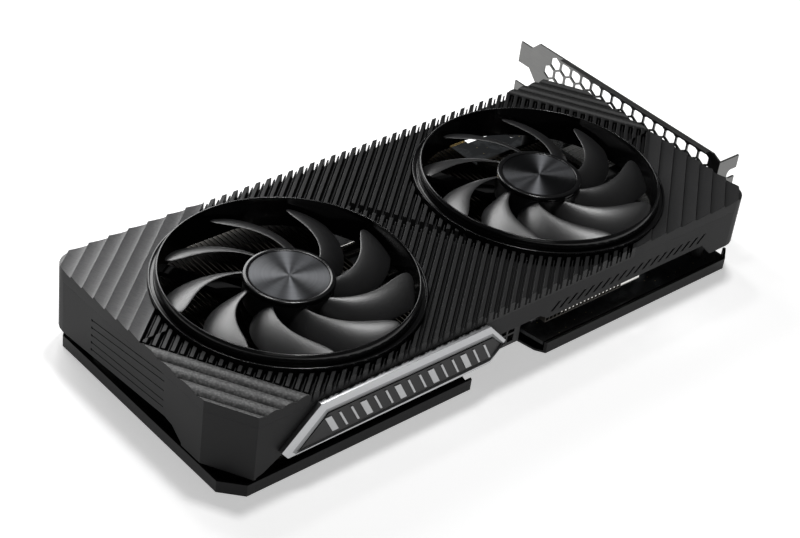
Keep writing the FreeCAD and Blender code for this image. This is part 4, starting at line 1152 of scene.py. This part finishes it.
# ---------------------------------------------------------------- fans
@dataclass
class Fan:
    """One fan: rotor, trim, cap and the ring round it. Sizes in millimetres."""

    layout: Layout
    side: Side
    phase: float
    blades: int = 9
    sweep: float = 52.0
    root_span: float = 25.0
    tip_span: float = 28.0
    root_drop: float = 8.3
    tip_drop: float = 6.0
    thickness: float = 1.3
    root_r: float = 16.0
    tip_r: float = 46.6
    top: float = 36.5
    corner: float = 11.0
    corner_share: float = 0.5
    rise: float = 1.4
    bend: float = 0.14
    camber: float = 0.58
    crowding: float = 1.7
    root_flare: float = 0.8
    root_reach: float = 1 / 6
    end_sharpness: float = 14.0
    hub_r: float = 16.9
    hub_low: float = 27.6
    hub_top: float = 37.6
    cap_r: float = 15.1
    trim_r: float = 17.3
    trim_top: float = 38.8
    cup_wall: float = 1.4
    cup_lid: float = 1.2
    cap_rise: float = 0.9
    groove: float = 0.12
    ring_low: float = 26.5
    ring_step: float = 35.2
    ring_wall: float = 1.4
    tip_gap: float = 1.6
    crest_in: float = 3.2
    lip_rise: float = 1.2

    @property
    def centre(self) -> Point:
        """The fan's axis."""
        return self.layout.fans[self.side.value]

    @property
    def body(self) -> str:
        """The CAD body that turns."""
        return "fan_" + self.side.value

    def build(self) -> None:
        """Makes and publishes the fan's pieces."""
        blades = self.blade_mesh()
        hub = self.hub_mesh()
        turned = TurnedMetal("turned_" + self.side.value, centre=tuple(c * MM for c in self.centre),
                             rim=self.cap_r * MM)
        for node, suffix, mesh, finish, degrees, body, slot in (
                ("rotor", "moulding", joined([blades, hub]), BLADE, 50.0, self.body, "fan_plastic"),
                ("hub_trim", "ring", self.trim_mesh(), GLOSS, 60.0, self.body, "ring_plastic"),
                ("hub_cap", "disc", self.cap_mesh(), turned, 25.0, self.body, "cap_metal"),
                ("fan_ring", "lip", self.ring_mesh(), GLOSS, 60.0, "card", "ring_plastic")):
            name = f"{node}_{self.side.value}"
            publish(piece(f"{name}_{suffix}", mesh, [finish.build()], degrees), body, slot, name)

    def blade_mesh(self) -> bpy.types.Mesh:
        """All the blades, from one bent grid copied round the hub.

        Returns:
            The mesh.
        """
        net = Recipe("blades_" + self.side.value)
        material = net.input("Material", BLADE.build())
        count = net.input("Blades", self.blades)
        root, tip, thick, top, corner, rise, root_drop, tip_drop = (
            net.input(label, size * MM) for label, size in (
                ("Root radius", self.root_r), ("Tip radius", self.tip_r), ("Thickness", self.thickness),
                ("Top", self.top), ("Corner", self.corner), ("Rise", self.rise),
                ("Root drop", self.root_drop), ("Tip drop", self.tip_drop)))
        sweep, turn, root_span, tip_span = (
            net.input(label, math.radians(angle)) for label, angle in (
                ("Sweep", self.sweep), ("Phase", self.phase), ("Root span", self.root_span),
                ("Tip span", self.tip_span)))
        grid = net.node("GeometryNodeMeshGrid", None, {
            "Size X": 1.0, "Size Y": 1.0, "Vertices X": 49, "Vertices Y": 34})
        x, y, _ = net.position()
        # round the section: top from the leading edge, then back along the underside
        around, along = x + 0.5, 1.0 - (0.5 - y) ** self.crowding
        even = 1.0 - abs(around * 2.0 - 1.0)
        chord = 0.5 - (even * math.pi).cosine() * 0.5
        side = (around < 0.5) * 2.0 - 1.0
        cut = (1.0 - chord / self.corner_share).at_least(0.0)
        outer = tip - corner * (1.0 - (1.0 - cut * cut).root())
        radius = root + (outer - root) * along
        share = (radius - root) / (tip - root)
        span = root_span + (tip_span - root_span) * share
        angle = turn + sweep * (share * (1.0 - self.bend) + share * share * self.bend) - span * chord
        drop = root_drop + (tip_drop - root_drop) * share
        body = (chord * math.pi).sine().root() * 0.5
        rooted = 1.0 + (1.0 - share / self.root_reach).at_least(0.0) * self.root_flare
        end = (1.0 - along ** self.end_sharpness).root()
        height = (top + share * rise - drop * (chord * (1.0 - self.camber) + chord * chord * self.camber)
                  - thick * 0.5 + side * thick * body * rooted * end)
        bent = net.moved_to(grid, net.join(radius * angle.cosine(), radius * angle.sine(), height))
        closed = net.node("GeometryNodeMergeByDistance", None, {"Geometry": bent, "Distance": 0.004 * MM})
        points = net.node("GeometryNodePoints", None, {"Count": count})
        index = net.node("GeometryNodeInputIndex")
        spin = net.join(0.0, 0.0, index * (2 * math.pi) / count)
        cx, cy = self.centre
        ring = net.placed(net.copies(points, closed, Rotation=spin), Translation=(cx * MM, cy * MM, 0.0))
        return tidied(net.run(ring, (material, True)), 2e-6)

    def hub_mesh(self) -> bpy.types.Mesh:
        """The rotor's cup, rounded where its side meets its lid.

        Returns:
            The mesh.
        """
        r, low, top = self.hub_r, self.hub_low, self.hub_top
        inner, under = r - self.cup_wall, top - self.cup_lid
        profile = [(0.0, top, 0), (r, top, 0.5), (r, low, 0.4), (inner, low, 0.3), (inner, under, 0.6),
                   (0.0, under, 0)]
        return lathe(eased(profile), self.centre)

    def trim_mesh(self) -> bpy.types.Mesh:
        """The polished ring round the cap.

        Returns:
            The mesh.
        """
        r, top, low = self.trim_r, self.trim_top, self.hub_top
        profile = [(self.cap_r, low + 0.02, 0), (self.cap_r, top - 0.2, 0.25), (self.cap_r + 0.9, top, 0.5),
                   (r - 0.2, top - 0.25, 0.8), (r, low + 0.2, 0.4), (r, low - 1.0, 0.2),
                   (self.hub_r + 0.02, low - 1.0, 0), (self.hub_r + 0.02, low + 0.02, 0)]
        return lathe(eased(profile, 7), self.centre)

    def cap_mesh(self) -> bpy.types.Mesh:
        """The thin disc in the middle, its edge broken and a groove near it.

        Returns:
            The mesh.
        """
        r, low = self.cap_r - 0.06, self.hub_top
        top, sunk = low + self.cap_rise, low + self.cap_rise - self.groove
        profile = [(0.0, low, 0), (0.0, top, 0), (r - 1.0, top, 0.05), (r - 0.85, sunk, 0.03),
                   (r - 0.7, sunk, 0.03), (r - 0.55, top, 0.05), (r - self.groove, top, 0.06), (r, sunk, 0.06),
                   (r, low, 0)]
        return lathe(eased(profile, 3), self.centre)

    def ring_mesh(self) -> bpy.types.Mesh:
        """The ring round the blades: a thin rounded crest, a groove and a low outer lip.

        Returns:
            The mesh.
        """
        seat, top, wall = self.layout.seat, self.layout.ring_top, self.tip_r + self.tip_gap
        step, low, floor = self.ring_step, self.ring_low, self.layout.floor - 1.5
        crest, lip, skirt = seat - self.crest_in, step + self.lip_rise, wall + self.ring_wall
        profile = [(wall, low, 0.3), (wall, top - 1.7, 0.9), (crest - 0.35, top, 0.35),
                   (crest + 0.35, top, 0.35), (crest + 1.0, top - 1.3, 0.6), (crest + 1.0, step, 0.4), (seat - 0.75, step, 0.25),
                   (seat - 0.7, lip, 0.2), (seat - 0.05, lip, 0.25), (seat - 0.02, floor, 0),
                   (skirt, floor, 0), (skirt, low, 0.3)]
        return lathe(eased(profile, 6), self.centre, 216)


# ---------------------------------------------------------------- shroud
@dataclass
class RibGrille:
    """Field of diagonal ribs, in two halves that meet at a seam between the fans. Sizes in millimetres."""

    layout: Layout
    pitch: float = 3.5
    width: float = 1.55
    thin: float = 0.6
    thin_drop: float = 1.4
    chamfer: float = 0.14
    base: float = 0.8
    gap: float = 0.45
    seam: tuple[Point, Point] = ((-13.3, 28.4), (19.0, -23.8))
    seam_gap: float = 0.9
    seam_slope: float = 2.0
    shift: float = 0.35
    bar_share: float = 1.5
    field_share: float = 0.62

    def build(self) -> None:
        """Makes and publishes the grille."""
        parts = [self.field_mesh(name, plan, offset) for name, plan, offset in
                 zip(("base", "far", "near"), self.regions(), (None, 0.0, self.shift))]
        made = piece("rib_grille_bars", joined(parts), [RIB.build()], 30.0)
        publish(made, "card", "rib_plastic", "rib_grille")

    def regions(self) -> list[list[Point]]:
        """Plans of the whole field, of its far half and of its near half.

        Returns:
            The three outlines.
        """
        card = self.layout
        tip, step, ridge = (card.closed_end, card.tip), card.stepped()[1], card.ridged()[2]
        far_tip, near_step, far_ridge = card.half_turn([tip, step, ridge])
        left, right = card.fans["left"], card.fans["right"]
        whole = [tip, ridge, near_step, far_tip, far_ridge, step]
        far = [tip, left, self.seam[0], self.seam[1], right, far_tip, far_ridge, step]
        near = [tip, ridge, near_step, far_tip, right, self.seam[1], self.seam[0], left]
        return [whole, far, near]

    def seam_cutter(self) -> bpy.types.Mesh:
        """Trench along the seam, upright on one side and sloped on the other.

        Returns:
            The mesh.
        """
        (x0, y0), (x1, y1) = self.seam
        along = Vector((x1 - x0, y1 - y0)).normalized()
        across = Vector((-along.y, along.x))
        low, high = self.layout.floor + self.base - 0.01, self.layout.deck + 0.5
        half = self.seam_gap / 2
        section = [(-half, low), (half, low), (half + self.seam_slope, high), (-half, high)]
        vertices = []
        for x, y in self.seam:
            vertices += [(x + across.x * s, y + across.y * s, z) for s, z in section]
        faces = [(0, 1, 2, 3), (4, 5, 6, 7)] + [(i, (i + 1) % 4, 4 + (i + 1) % 4, 4 + i) for i in range(4)]
        return mesh_from(vertices, faces)

    def field_mesh(self, name: str, plan: list[Point], offset: float | None) -> bpy.types.Mesh:
        """Ribs over one plan, or the plain base under them.

        Args:
            name: name of the tree.
            plan: the outline that they fill.
            offset: shift of the ribs in pitches, or None for the base.

        Returns:
            The mesh.
        """
        card, scratch = self.layout, Scratch()
        top = card.floor + self.base if offset is None else card.deck
        low = card.floor if offset is None else card.floor + self.base - 0.05
        region = scratch.hold(prism(plan, low, top))
        seats = card.seats(scratch, self.gap, low - 1, top + 1)
        net = Recipe("ribs_" + name)
        material = net.input("Material", RIB.build())
        plan_solid = net.solid_of(net.input("Plan", region))
        holes = [net.solid_of(net.input(f"Seat {i}", seat)) for i, seat in enumerate(seats)]
        if offset is None:
            result = net.less(plan_solid, *holes)
        else:
            trench = net.solid_of(net.input("Seam", scratch.hold(self.seam_cutter())))
            cut = net.less(plan_solid, *holes, trench)
            result = net.common(self.rib_set(net, offset), cut)
        mesh = net.run(result, (material, True))
        scratch.clear()
        return tidied(mesh)

    def rib_set(self, net: Recipe, offset: float) -> Wire:
        """Wide and thin ribs by turns, turned to their direction.

        Args:
            net: the tree.
            offset: shift in pitches.

        Returns:
            The geometry.
        """
        card = self.layout
        span = card.open_end - card.closed_end
        pitch = net.input("Pitch", self.pitch * MM)
        length = net.input("Length", span * self.bar_share * MM)
        chamfer = net.input("Chamfer", self.chamfer * MM)
        low, high = card.floor * MM, net.input("Top", card.deck * MM)
        count = int(span * self.field_share / self.pitch) * 2
        line = net.node("GeometryNodeMeshLine", {"mode": "OFFSET"}, {
            "Count": net.input("Ribs", count), "Start Location": (0.0, -count / 2 * self.pitch * MM, 0.0),
            "Offset": net.join(0.0, pitch, 0.0)})
        sets = []
        for label, width, drop, nudge in (("Rib width", self.width, 0.0, 0.0),
                                          ("Thin rib width", self.thin, self.thin_drop, 0.5)):
            bar = self.bar(net, length, net.input(label, width * MM), chamfer, low, high - drop * MM)
            across = (nudge + offset) * self.pitch * MM
            shifted = net.placed(net.copies(line, bar), Translation=(0.0, across, 0.0))
            sets.append(net.node("GeometryNodeRealizeInstances", None, {0: shifted}))
        cx, cy = card.centre
        return net.placed(net.together(*sets), Translation=(cx * MM, cy * MM, 0.0),
                          Rotation=(0.0, 0.0, math.radians(card.rib_angle)))

    @staticmethod
    def bar(net: Recipe, length: Wire, width: Wire, chamfer: Wire, low: float, high: Wire) -> Wire:
        """A long bar along X whose two upper edges are cut off.

        Args:
            net: the tree.
            length: its length.
            width: its width.
            chamfer: width of the cut edges.
            low: height of its underside.
            high: height of its top.

        Returns:
            The geometry.
        """
        block = net.block(4)
        x, y, z = net.position()
        outer, upper = abs(y) > 0.3, z > 0.0
        sign = y.sign()
        across = sign * (width * 0.5 - chamfer * (1.0 - outer))
        height = low + (high - low - chamfer * outer) * upper
        return net.moved_to(block, net.join(x * length, across, height))


class Relief(Enum):
    """How a corner panel's surface runs."""

    STEPPED = "stepped"
    RIDGED = "ridged"


@dataclass
class CornerPanel:
    """A corner panel whose surface rises and falls by rule. Sizes in millimetres."""

    layout: Layout
    name: str
    relief: Relief
    turned: bool
    finish: Finish
    slot: str
    step: float = 1.1
    ridge: float = 1.3
    fall: float = 0.035
    rows: int = 16
    pitches: int = 12
    gap: float = 0.1
    upright: float = 0.35
    length: float = 190.0
    forward: float = 75.0
    ridge_drop: float = 0.9
    level_pitches: int = 5
    end_fall: float = 0.05

    def build(self) -> None:
        """Makes and publishes the panel."""
        card, scratch = self.layout, Scratch()
        plan = card.stepped() if self.relief is Relief.STEPPED else card.ridged()
        plan = card.half_turn(plan) if self.turned else plan
        low, high = card.floor, card.deck + 4
        region = scratch.hold(prism(plan, low, high))
        inside = scratch.hold(prism(card.outline(), low - 1, high + 1))
        seats = card.seats(scratch, self.gap, low - 1, high + 1)
        net = Recipe("panel_" + self.name)
        side_finish, top_finish = net.input("Side", SHELL.build()), net.input("Top", self.finish.build())
        parts = [net.solid_of(net.input(label, thing)) for label, thing in
                 (("Plan", region), ("Outline", inside), ("Seat 0", seats[0]), ("Seat 1", seats[1]))]
        solid = net.common(self.surface(net, low), parts[0], parts[1])
        solid = net.less(solid, parts[2], parts[3])
        _, _, up = net.split(net.node("GeometryNodeInputNormal"))
        mesh = net.run(solid, (side_finish, True), (top_finish, up > self.upright))
        scratch.clear()
        made = piece("panel_" + self.name + "_face", tidied(mesh), [], 28.0)
        publish(made, "card", self.slot, "panel_" + self.name)

    def surface(self, net: Recipe, low: float) -> Wire:
        """A long block whose top follows the panel's rule.

        Args:
            net: the tree.
            low: height of its underside.

        Returns:
            The geometry, in place.
        """
        card = self.layout
        stepped = self.relief is Relief.STEPPED
        pitch = net.input("Pitch", card.panel_pitch * MM)
        reach = card.panel_pitch * self.pitches * MM
        block = net.block(self.rows * self.pitches + 1)
        x, y, z = net.position()
        across = (y + 0.5) * reach
        part = (across / pitch + 1e-4).fraction()
        if stepped:
            rise = net.input("Step", self.step * MM)
            soft = part ** 1.6 - (part.smooth(0.965, 1.0)) * 0.98
            top = card.deck * MM + rise * (soft - 0.35)
        else:
            rise = net.input("Ridge", self.ridge * MM)
            beyond = (across - self.level_pitches * card.panel_pitch * MM).at_least(0.0)
            top = ((card.deck - self.ridge_drop) * MM + rise * (part * math.pi).sine() ** 0.7
                   - across * self.fall - beyond * self.end_fall)
        height = low * MM + (top - low * MM) * (z > 0.0)
        angle = math.radians(card.rib_angle if stepped else card.ridge_angle)
        flip = 1.0 if stepped else -1.0
        made = net.moved_to(block, net.join((x * self.length + self.forward) * MM, across * flip, height))
        start = (card.closed_end * MM, card.tip * MM, 0.0)
        made = net.placed(made, Rotation=(0.0, 0.0, angle), Translation=start)
        if not stepped:
            made = net.node("GeometryNodeFlipFaces", None, {0: made})
        cx, cy = card.centre
        turn = {"Rotation": (0.0, 0.0, math.pi), "Translation": (2 * cx * MM, 2 * cy * MM, 0.0)}
        return net.placed(made, **turn) if self.turned else made


@dataclass
class Badge:
    """The long badge on the near wall: a metal frame round a plain motif. Sizes in millimetres."""

    layout: Layout
    slope_drop: float = 0.95
    bars: int = 15
    bar_pitch: float = 5.3
    lean: float = -0.55
    crease_share: float = 0.55
    frame_round: float = 0.18
    bar_round: float = 0.07
    bar_margin: float = 3.6
    bar_start: float = 13.5
    bar_widths: Point = (2.9, 1.0)
    bar_depth: float = 0.3
    bar_lift: float = 0.12

    def build(self) -> None:
        """Makes and publishes the frame and the motif; the plate stays as the CAD has it."""
        metal = piece("badge_frame_bevelled", bevelled(self.frame_mesh(), self.frame_round), [], 20.0)
        publish(metal, "card", "badge_metal", "badge_frame")
        motif = piece("badge_motif", self.motif_mesh(), [MOTIF.build()], 30.0)
        publish(motif, "card", "badge_metal")

    def frame_mesh(self) -> bpy.types.Mesh:
        """The frame, flat outside and sloping in towards the plate.

        Returns:
            The mesh.
        """
        low, high = box_mm("badge_frame")
        left, right, bottom, top = low.x, high.x, low.z, high.z
        outer = [(left, bottom + 3.7), (left + 3.0, bottom), (right - 6.6, bottom), (right, bottom + 8.2),
                 (right - 9.6, top), (left + 15.9, top)]
        inner = [(left + 8.6, bottom + 0.8), (left + 9.2, bottom + 0.81), (right - 7.0, bottom + 2.2),
                 (right - 1.4, bottom + 6.3), (right - 6.8, top - 6.8), (left + 20.3, top - 6.4)]
        back, front = high.y, low.y
        share = self.crease_share
        crease = [tuple(p * (1 - share) + q * share for p, q in zip(a, b)) for a, b in zip(outer, inner)]
        sunk = front + self.slope_drop
        loops = [(outer, back), (outer, front), (crease, front), (inner, sunk), (inner, back)]
        vertices = [(x, y, z) for loop, y in loops for x, z in loop]
        n, rows = len(outer), len(loops)
        faces = [(k * n + i, k * n + (i + 1) % n, (k + 1) % rows * n + (i + 1) % n, (k + 1) % rows * n + i)
                 for k in range(rows) for i in range(n)]
        mesh = mesh_from(vertices, faces)
        # the sloping faces take a darker copy of the frame's metal: painted shade
        for finish in (BADGE_METAL, BADGE_SLOPE_PAINTED_SHADE):
            mesh.materials.append(finish.build())
        slope = range(2 * n, 3 * n)
        for i, face in enumerate(mesh.polygons):
            face.material_index = int(i in slope)
        return mesh

    def motif_mesh(self) -> bpy.types.Mesh:
        """A row of leaning bars, wide and narrow by turns, standing a little off the plate.

        Returns:
            The mesh.
        """
        low, high = box_mm("badge_plate")
        net = Recipe("badge_motif")
        material = net.input("Material", MOTIF.build())
        height = net.input("Height", (high.z - low.z - self.bar_margin) * MM)
        wide, narrow = (net.input(label, size * MM) for label, size in zip(("Wide", "Narrow"), self.bar_widths))
        lean, raised = net.input("Lean", self.lean), net.input("Raised", self.bar_depth * MM)
        line = net.node("GeometryNodeMeshLine", {"mode": "OFFSET"}, {
            "Count": net.input("Bars", self.bars), "Start Location": ((low.x + self.bar_start) * MM, 0.0, 0.0),
            "Offset": (self.bar_pitch * MM, 0.0, 0.0)})
        bars = self.numbered(net, line, net.block(), wide, narrow)
        real = net.node("GeometryNodeRealizeInstances", None, {0: bars})
        x, y, z = net.position()
        middle = (low.z + high.z) / 2 + 0.2
        front = (low.y - self.bar_lift) * MM
        made = net.moved_to(real, net.join(x + z * height * lean, y * raised + front, z * height + middle * MM))
        return bevelled(tidied(net.run(made, (material, True))), self.bar_round, 1)

    @staticmethod
    def numbered(net: Recipe, line: Wire, cube: Wire, wide: Wire, narrow: Wire) -> Wire:
        """A cube on each point, its width wide on every third one and narrow on the rest.

        Args:
            net: the tree.
            line: the points.
            cube: the shape.
            wide: width of every third bar.
            narrow: width of the others.

        Returns:
            The instances.
        """
        index = net.node("GeometryNodeInputIndex")
        third = (index / 3.0 + 0.01).fraction() < 0.3
        scale = net.join(narrow + (wide - narrow) * third, 1.0, 1.0)
        return net.copies(line, cube, Scale=scale)


@dataclass
class ScrewSprings:
    """The four coil springs under the cooler's screws. Sizes in millimetres."""

    wire: float = 0.4
    turns: float = 3.0
    radius: float = 1.85

    def build(self) -> None:
        """Makes and publishes the springs."""
        low, high = box_mm("screw_springs")
        reach = self.radius + self.wire / 2
        xs, ys = (low.x + reach, high.x - reach), (low.y + reach, high.y - reach)
        net = Recipe("screw_springs")
        material = net.input("Material", SPRING.build())
        path = net.node("GeometryNodeCurveSpiral", None, {
            "Resolution": 24, "Rotations": net.input("Turns", self.turns), "Start Radius": self.radius * MM,
            "End Radius": self.radius * MM, "Height": (high.z - low.z - self.wire) * MM})
        section = net.node("GeometryNodeCurvePrimitiveCircle", None, {
            "Resolution": 10, "Radius": net.input("Wire", self.wire / 2 * MM)})
        coil = net.node("GeometryNodeCurveToMesh", None, {
            "Curve": path, "Profile Curve": section, "Fill Caps": True})
        grid = net.node("GeometryNodeMeshGrid", None, {
            "Size X": (xs[1] - xs[0]) * MM, "Size Y": (ys[1] - ys[0]) * MM, "Vertices X": 2, "Vertices Y": 2})
        middle = (sum(xs) / 2 * MM, sum(ys) / 2 * MM, (low.z + self.wire / 2) * MM)
        coils = net.placed(net.copies(grid, coil), Translation=middle)
        made = piece("screw_springs_coils", tidied(net.run(coils, (material, True))), [SPRING.build()], 50.0)
        publish(made, "card", "steel", "screw_springs")


# ---------------------------------------------------------------- finishes of this card
SHELL = Moulded("shell", colour=(0.011, 0.011, 0.0115), rough=0.55, grain_mm=0.3, gloss=0.2)
RIB = Moulded("rib", colour=(0.007, 0.007, 0.0074), rough=0.46, grain_mm=0.35, edge_mm=0.12, edge_light=3.0,
              gloss=0.24)
# Each corner panel's finish comes as a lit and a shaded copy: the left panels get a lighter colour as painted
# light, and the turned right panels a darker one as painted shade.
STEP_PAINTED_LIT = Streaked("step_light", colour=(0.085, 0.085, 0.087))
STEP_PAINTED_SHADE = Streaked("step_dark", colour=(0.011, 0.011, 0.0115), rough=0.5, streak=0.12, gloss=0.3)
RIDGE_PAINTED_LIT = Leathery("ridge_light", colour=(0.085, 0.085, 0.085))
RIDGE_PAINTED_SHADE = Leathery("ridge_dark", colour=(0.010, 0.010, 0.010), depth=0.05, gloss=0.25)
GLOSS = Glossy("gloss")
BLADE = BladeSatin("blade")
BADGE_METAL = Brushed("badge_metal", colour=(0.50, 0.505, 0.515), rough=0.38, line_mm=0.25, edge_mm=0.1)
# a darker copy of the badge metal for the frame's sloping faces: painted shade
BADGE_SLOPE_PAINTED_SHADE = Brushed("badge_slope", colour=(0.27, 0.275, 0.28), rough=0.42, line_mm=0.25, edge_mm=0.1)
MOTIF = Brushed("motif", colour=(0.48, 0.485, 0.49), rough=0.45, edge_mm=0.05)
SPRING = Brushed("spring", colour=(0.62, 0.62, 0.60), rough=0.25, edge_mm=0.05)

SLOT_FINISHES: dict[str, Finish] = {
    "shroud_plastic": SHELL,
    "rib_plastic": RIB,
    "step_panel": STEP_PAINTED_LIT,
    "ridge_panel": RIDGE_PAINTED_LIT,
    "ring_plastic": GLOSS,
    "badge_metal": BADGE_METAL,
    "badge_black": Moulded("badge_plate", colour=(0.010, 0.010, 0.0105), rough=0.42, grain_mm=0.5,
                           grain_depth=0.004, gloss=0.3),
    "fan_plastic": BLADE,
    "cap_metal": Brushed("cap_metal", colour=(0.25, 0.26, 0.28)),
    "magnet": Moulded("magnet", colour=(0.06, 0.055, 0.055), rough=0.6, grain_mm=0.4),
    "steel": SPRING,
    "sintered_bronze": Rolled("bronze", colour=(0.50, 0.33, 0.16), rough=0.45),
    "winding": Wound("winding"),
    "board_green": BoardMask("driver_board", colour=(0.010, 0.040, 0.020), track=(0.02, 0.075, 0.035)),
    "board_black": BoardMask("main_board"),
    "gold": Brushed("gold", colour=(0.88, 0.62, 0.22), rough=0.25, line_mm=0.2, edge_mm=0.03, stain=0.08),
    "substrate": BoardMask("substrate", colour=(0.015, 0.055, 0.030), track=(0.03, 0.09, 0.05), track_mm=1.2),
    "silicon": Glossy("silicon", colour=(0.05, 0.055, 0.07), rough=0.1),
    "chip_black": Moulded("chip", colour=(0.018, 0.018, 0.018), rough=0.55, grain_mm=0.18),
    "choke_grey": Moulded("choke", colour=(0.07, 0.07, 0.075), rough=0.6, grain_mm=0.5, grain_depth=0.03),
    "can_metal": Rolled("can", colour=(0.70, 0.70, 0.71), rough=0.28),
    "socket_black": Moulded("socket", colour=(0.014, 0.014, 0.014), rough=0.45, edge_mm=0.15),
    "pin_metal": Brushed("pin", colour=(0.75, 0.66, 0.42), rough=0.25, edge_mm=0.05),
    "header_white": Moulded("header", colour=(0.70, 0.68, 0.62), rough=0.5, edge_light=1.15, cloud=0.04),
    "socket_shell": Brushed("socket_shell", colour=(0.64, 0.64, 0.63), rough=0.28, edge_mm=0.12),
    "bracket_steel": Brushed("bracket", colour=(0.16, 0.16, 0.157), rough=0.36, stain=0.35,
                             across=(1.0, 0.03, 1.0), line_mm=0.25, edge_mm=0.15),
    "screw_black": Brushed("screw_black", colour=(0.05, 0.05, 0.052), rough=0.38, edge_mm=0.12),
    "screw_steel": Brushed("screw_steel", colour=(0.55, 0.55, 0.55), rough=0.3, edge_mm=0.12),
    "fin_metal": Rolled("fin"),
    "pipe_metal": Brushed("pipe", colour=(0.80, 0.78, 0.75), rough=0.2, edge_mm=0.1, stain=0.08),
    "copper_plate": Rolled("copper", colour=(0.72, 0.38, 0.22), rough=0.3),
    "plate_metal": Rolled("plate", colour=(0.50, 0.50, 0.50), rough=0.36),
    "pad": Moulded("pad", colour=(0.40, 0.47, 0.53), rough=0.8, grain_mm=0.6, edge_light=1.1),
    "backplate_black": PowderCoat("backplate"),
    "lead_black": Moulded("lead", colour=(0.015, 0.015, 0.015), rough=0.55, grain_mm=0.4),
}


def dress_cad_nodes() -> None:
    """Gives every CAD node the finish of its slot."""
    for part in frame["record"]["subparts"]:
        node = frame["nodes"][part["node"]]
        material = SLOT_FINISHES[part["material_slot"]].build()
        node.data.materials.clear()
        node.data.materials.append(material)
    LOG.info("dressed %d CAD nodes", len(frame["nodes"]))


# ---------------------------------------------------------------- studio
@dataclass
class Lamp:
    """A soft rectangular light."""

    name: str
    place: tuple[float, float, float]
    aim: tuple[float, float, float]
    size: tuple[float, float]
    watts: float
    colour: Colour = (1.0, 1.0, 1.0)

    def build(self) -> None:
        """Puts the light in the scene."""
        data = bpy.data.lights.new(self.name, "AREA")
        data.shape, data.size, data.size_y = "RECTANGLE", *self.size
        data.energy, data.color = self.watts, self.colour
        lamp = linked(self.name, data)
        lamp.location = self.place
        lamp.rotation_euler = (Vector(self.aim) - Vector(self.place)).to_track_quat("-Z", "Y").to_euler()


@dataclass
class Studio:
    """Camera, floor, sky and lights."""

    eye: tuple[float, float, float] = (-0.44031, -0.42608, 0.45462)
    look: tuple[float, float, float] = (0.57808, 0.57178, -0.58214)
    up: tuple[float, float, float] = (0.31425, 0.50239, 0.80551)
    lens: float = 86.74
    shift: tuple[float, float] = (0.0039, -0.0026)
    sky: float = 0.05
    floor_half: float = 6.0
    floor_gap: float = 0.0003
    lamps: tuple[Lamp, ...] = field(default_factory=lambda: (
        Lamp("back_softbox", (0.05, 0.45, 0.28), (-0.08, 0.0, 0.03), (0.34, 0.28), 1.8),
        Lamp("overhead_spot", (0.32, 0.22, 1.5), (0.0, 0.0, 0.03), (0.2, 0.2), 10.0),
        Lamp("far_overhead_spot", (0.25, 0.59, 1.02), (0.0, 0.0, 0.03), (0.12, 0.12), 1.2),
        Lamp("front_fill", (-0.7, -0.8, 0.5), (0.0, 0.0, 0.02), (0.6, 0.4), 0.5),
    ))

    def build(self) -> None:
        """Makes the whole studio."""
        self.camera()
        self.floor()
        self.world()
        for lamp in self.lamps:
            lamp.build()

    def camera(self) -> None:
        """Sets the camera up."""
        data = bpy.data.cameras.new("camera")
        data.lens, data.sensor_width = self.lens, 36.0
        data.shift_x, data.shift_y = self.shift
        data.clip_start, data.clip_end = 0.01, 20.0
        camera = linked("camera", data)
        back = -Vector(self.look).normalized()
        right = Vector(self.up).cross(back).normalized()
        rows = Matrix((right, back.cross(right), back))
        camera.matrix_world = Matrix.Translation(self.eye) @ rows.transposed().to_4x4()
        bpy.context.scene.camera = camera

    def floor(self) -> None:
        """Lays a wide flat sheet just under the card."""
        half, z = self.floor_half, -self.floor_gap
        corners = [(-half, -half, z), (half, -half, z), (half, half, z), (-half, half, z)]
        mesh = mesh_from(corners, [(0, 1, 2, 3)], 1.0)
        sheet = piece("floor", mesh, [Ground("ground").build()])

    def world(self) -> None:
        """Makes an even sky, white to the camera and dim to the card."""
        world = bpy.data.worlds.new("sky")
        world.use_nodes = True
        net = Net(world.node_tree)
        world.node_tree.nodes.clear()
        seen = net.node("ShaderNodeLightPath", out="Is Camera Ray")
        sky = net.node("ShaderNodeBackground", None, {
            "Color": (1.0, 1.0, 1.0), "Strength": seen * (1.0 - self.sky) + self.sky})
        net.node("ShaderNodeOutputWorld", None, {"Surface": sky})
        bpy.context.scene.world = world
        bpy.context.scene.view_settings.view_transform = "Standard"


def main() -> None:
    """Builds the card piece by piece, then the studio."""
    logging.basicConfig(level=logging.INFO, format="%(name)s: %(message)s")
    layout = Layout.from_frame()
    dress_cad_nodes()
    Fan(layout, Side.LEFT, phase=11.0).build()
    Fan(layout, Side.RIGHT, phase=24.0).build()
    RibGrille(layout).build()
    for name, relief, turned, finish, slot in (
            ("far_left", Relief.STEPPED, False, STEP_PAINTED_LIT, "step_panel"),
            ("near_left", Relief.RIDGED, False, RIDGE_PAINTED_LIT, "ridge_panel"),
            ("near_right", Relief.STEPPED, True, STEP_PAINTED_SHADE, "step_panel"),
            ("far_right", Relief.RIDGED, True, RIDGE_PAINTED_SHADE, "ridge_panel")):
        CornerPanel(layout, name, relief, turned, finish, slot).build()
    Badge(layout).build()
    ScrewSprings().build()
    Studio().build()


if __name__ == "__main__":
    main()
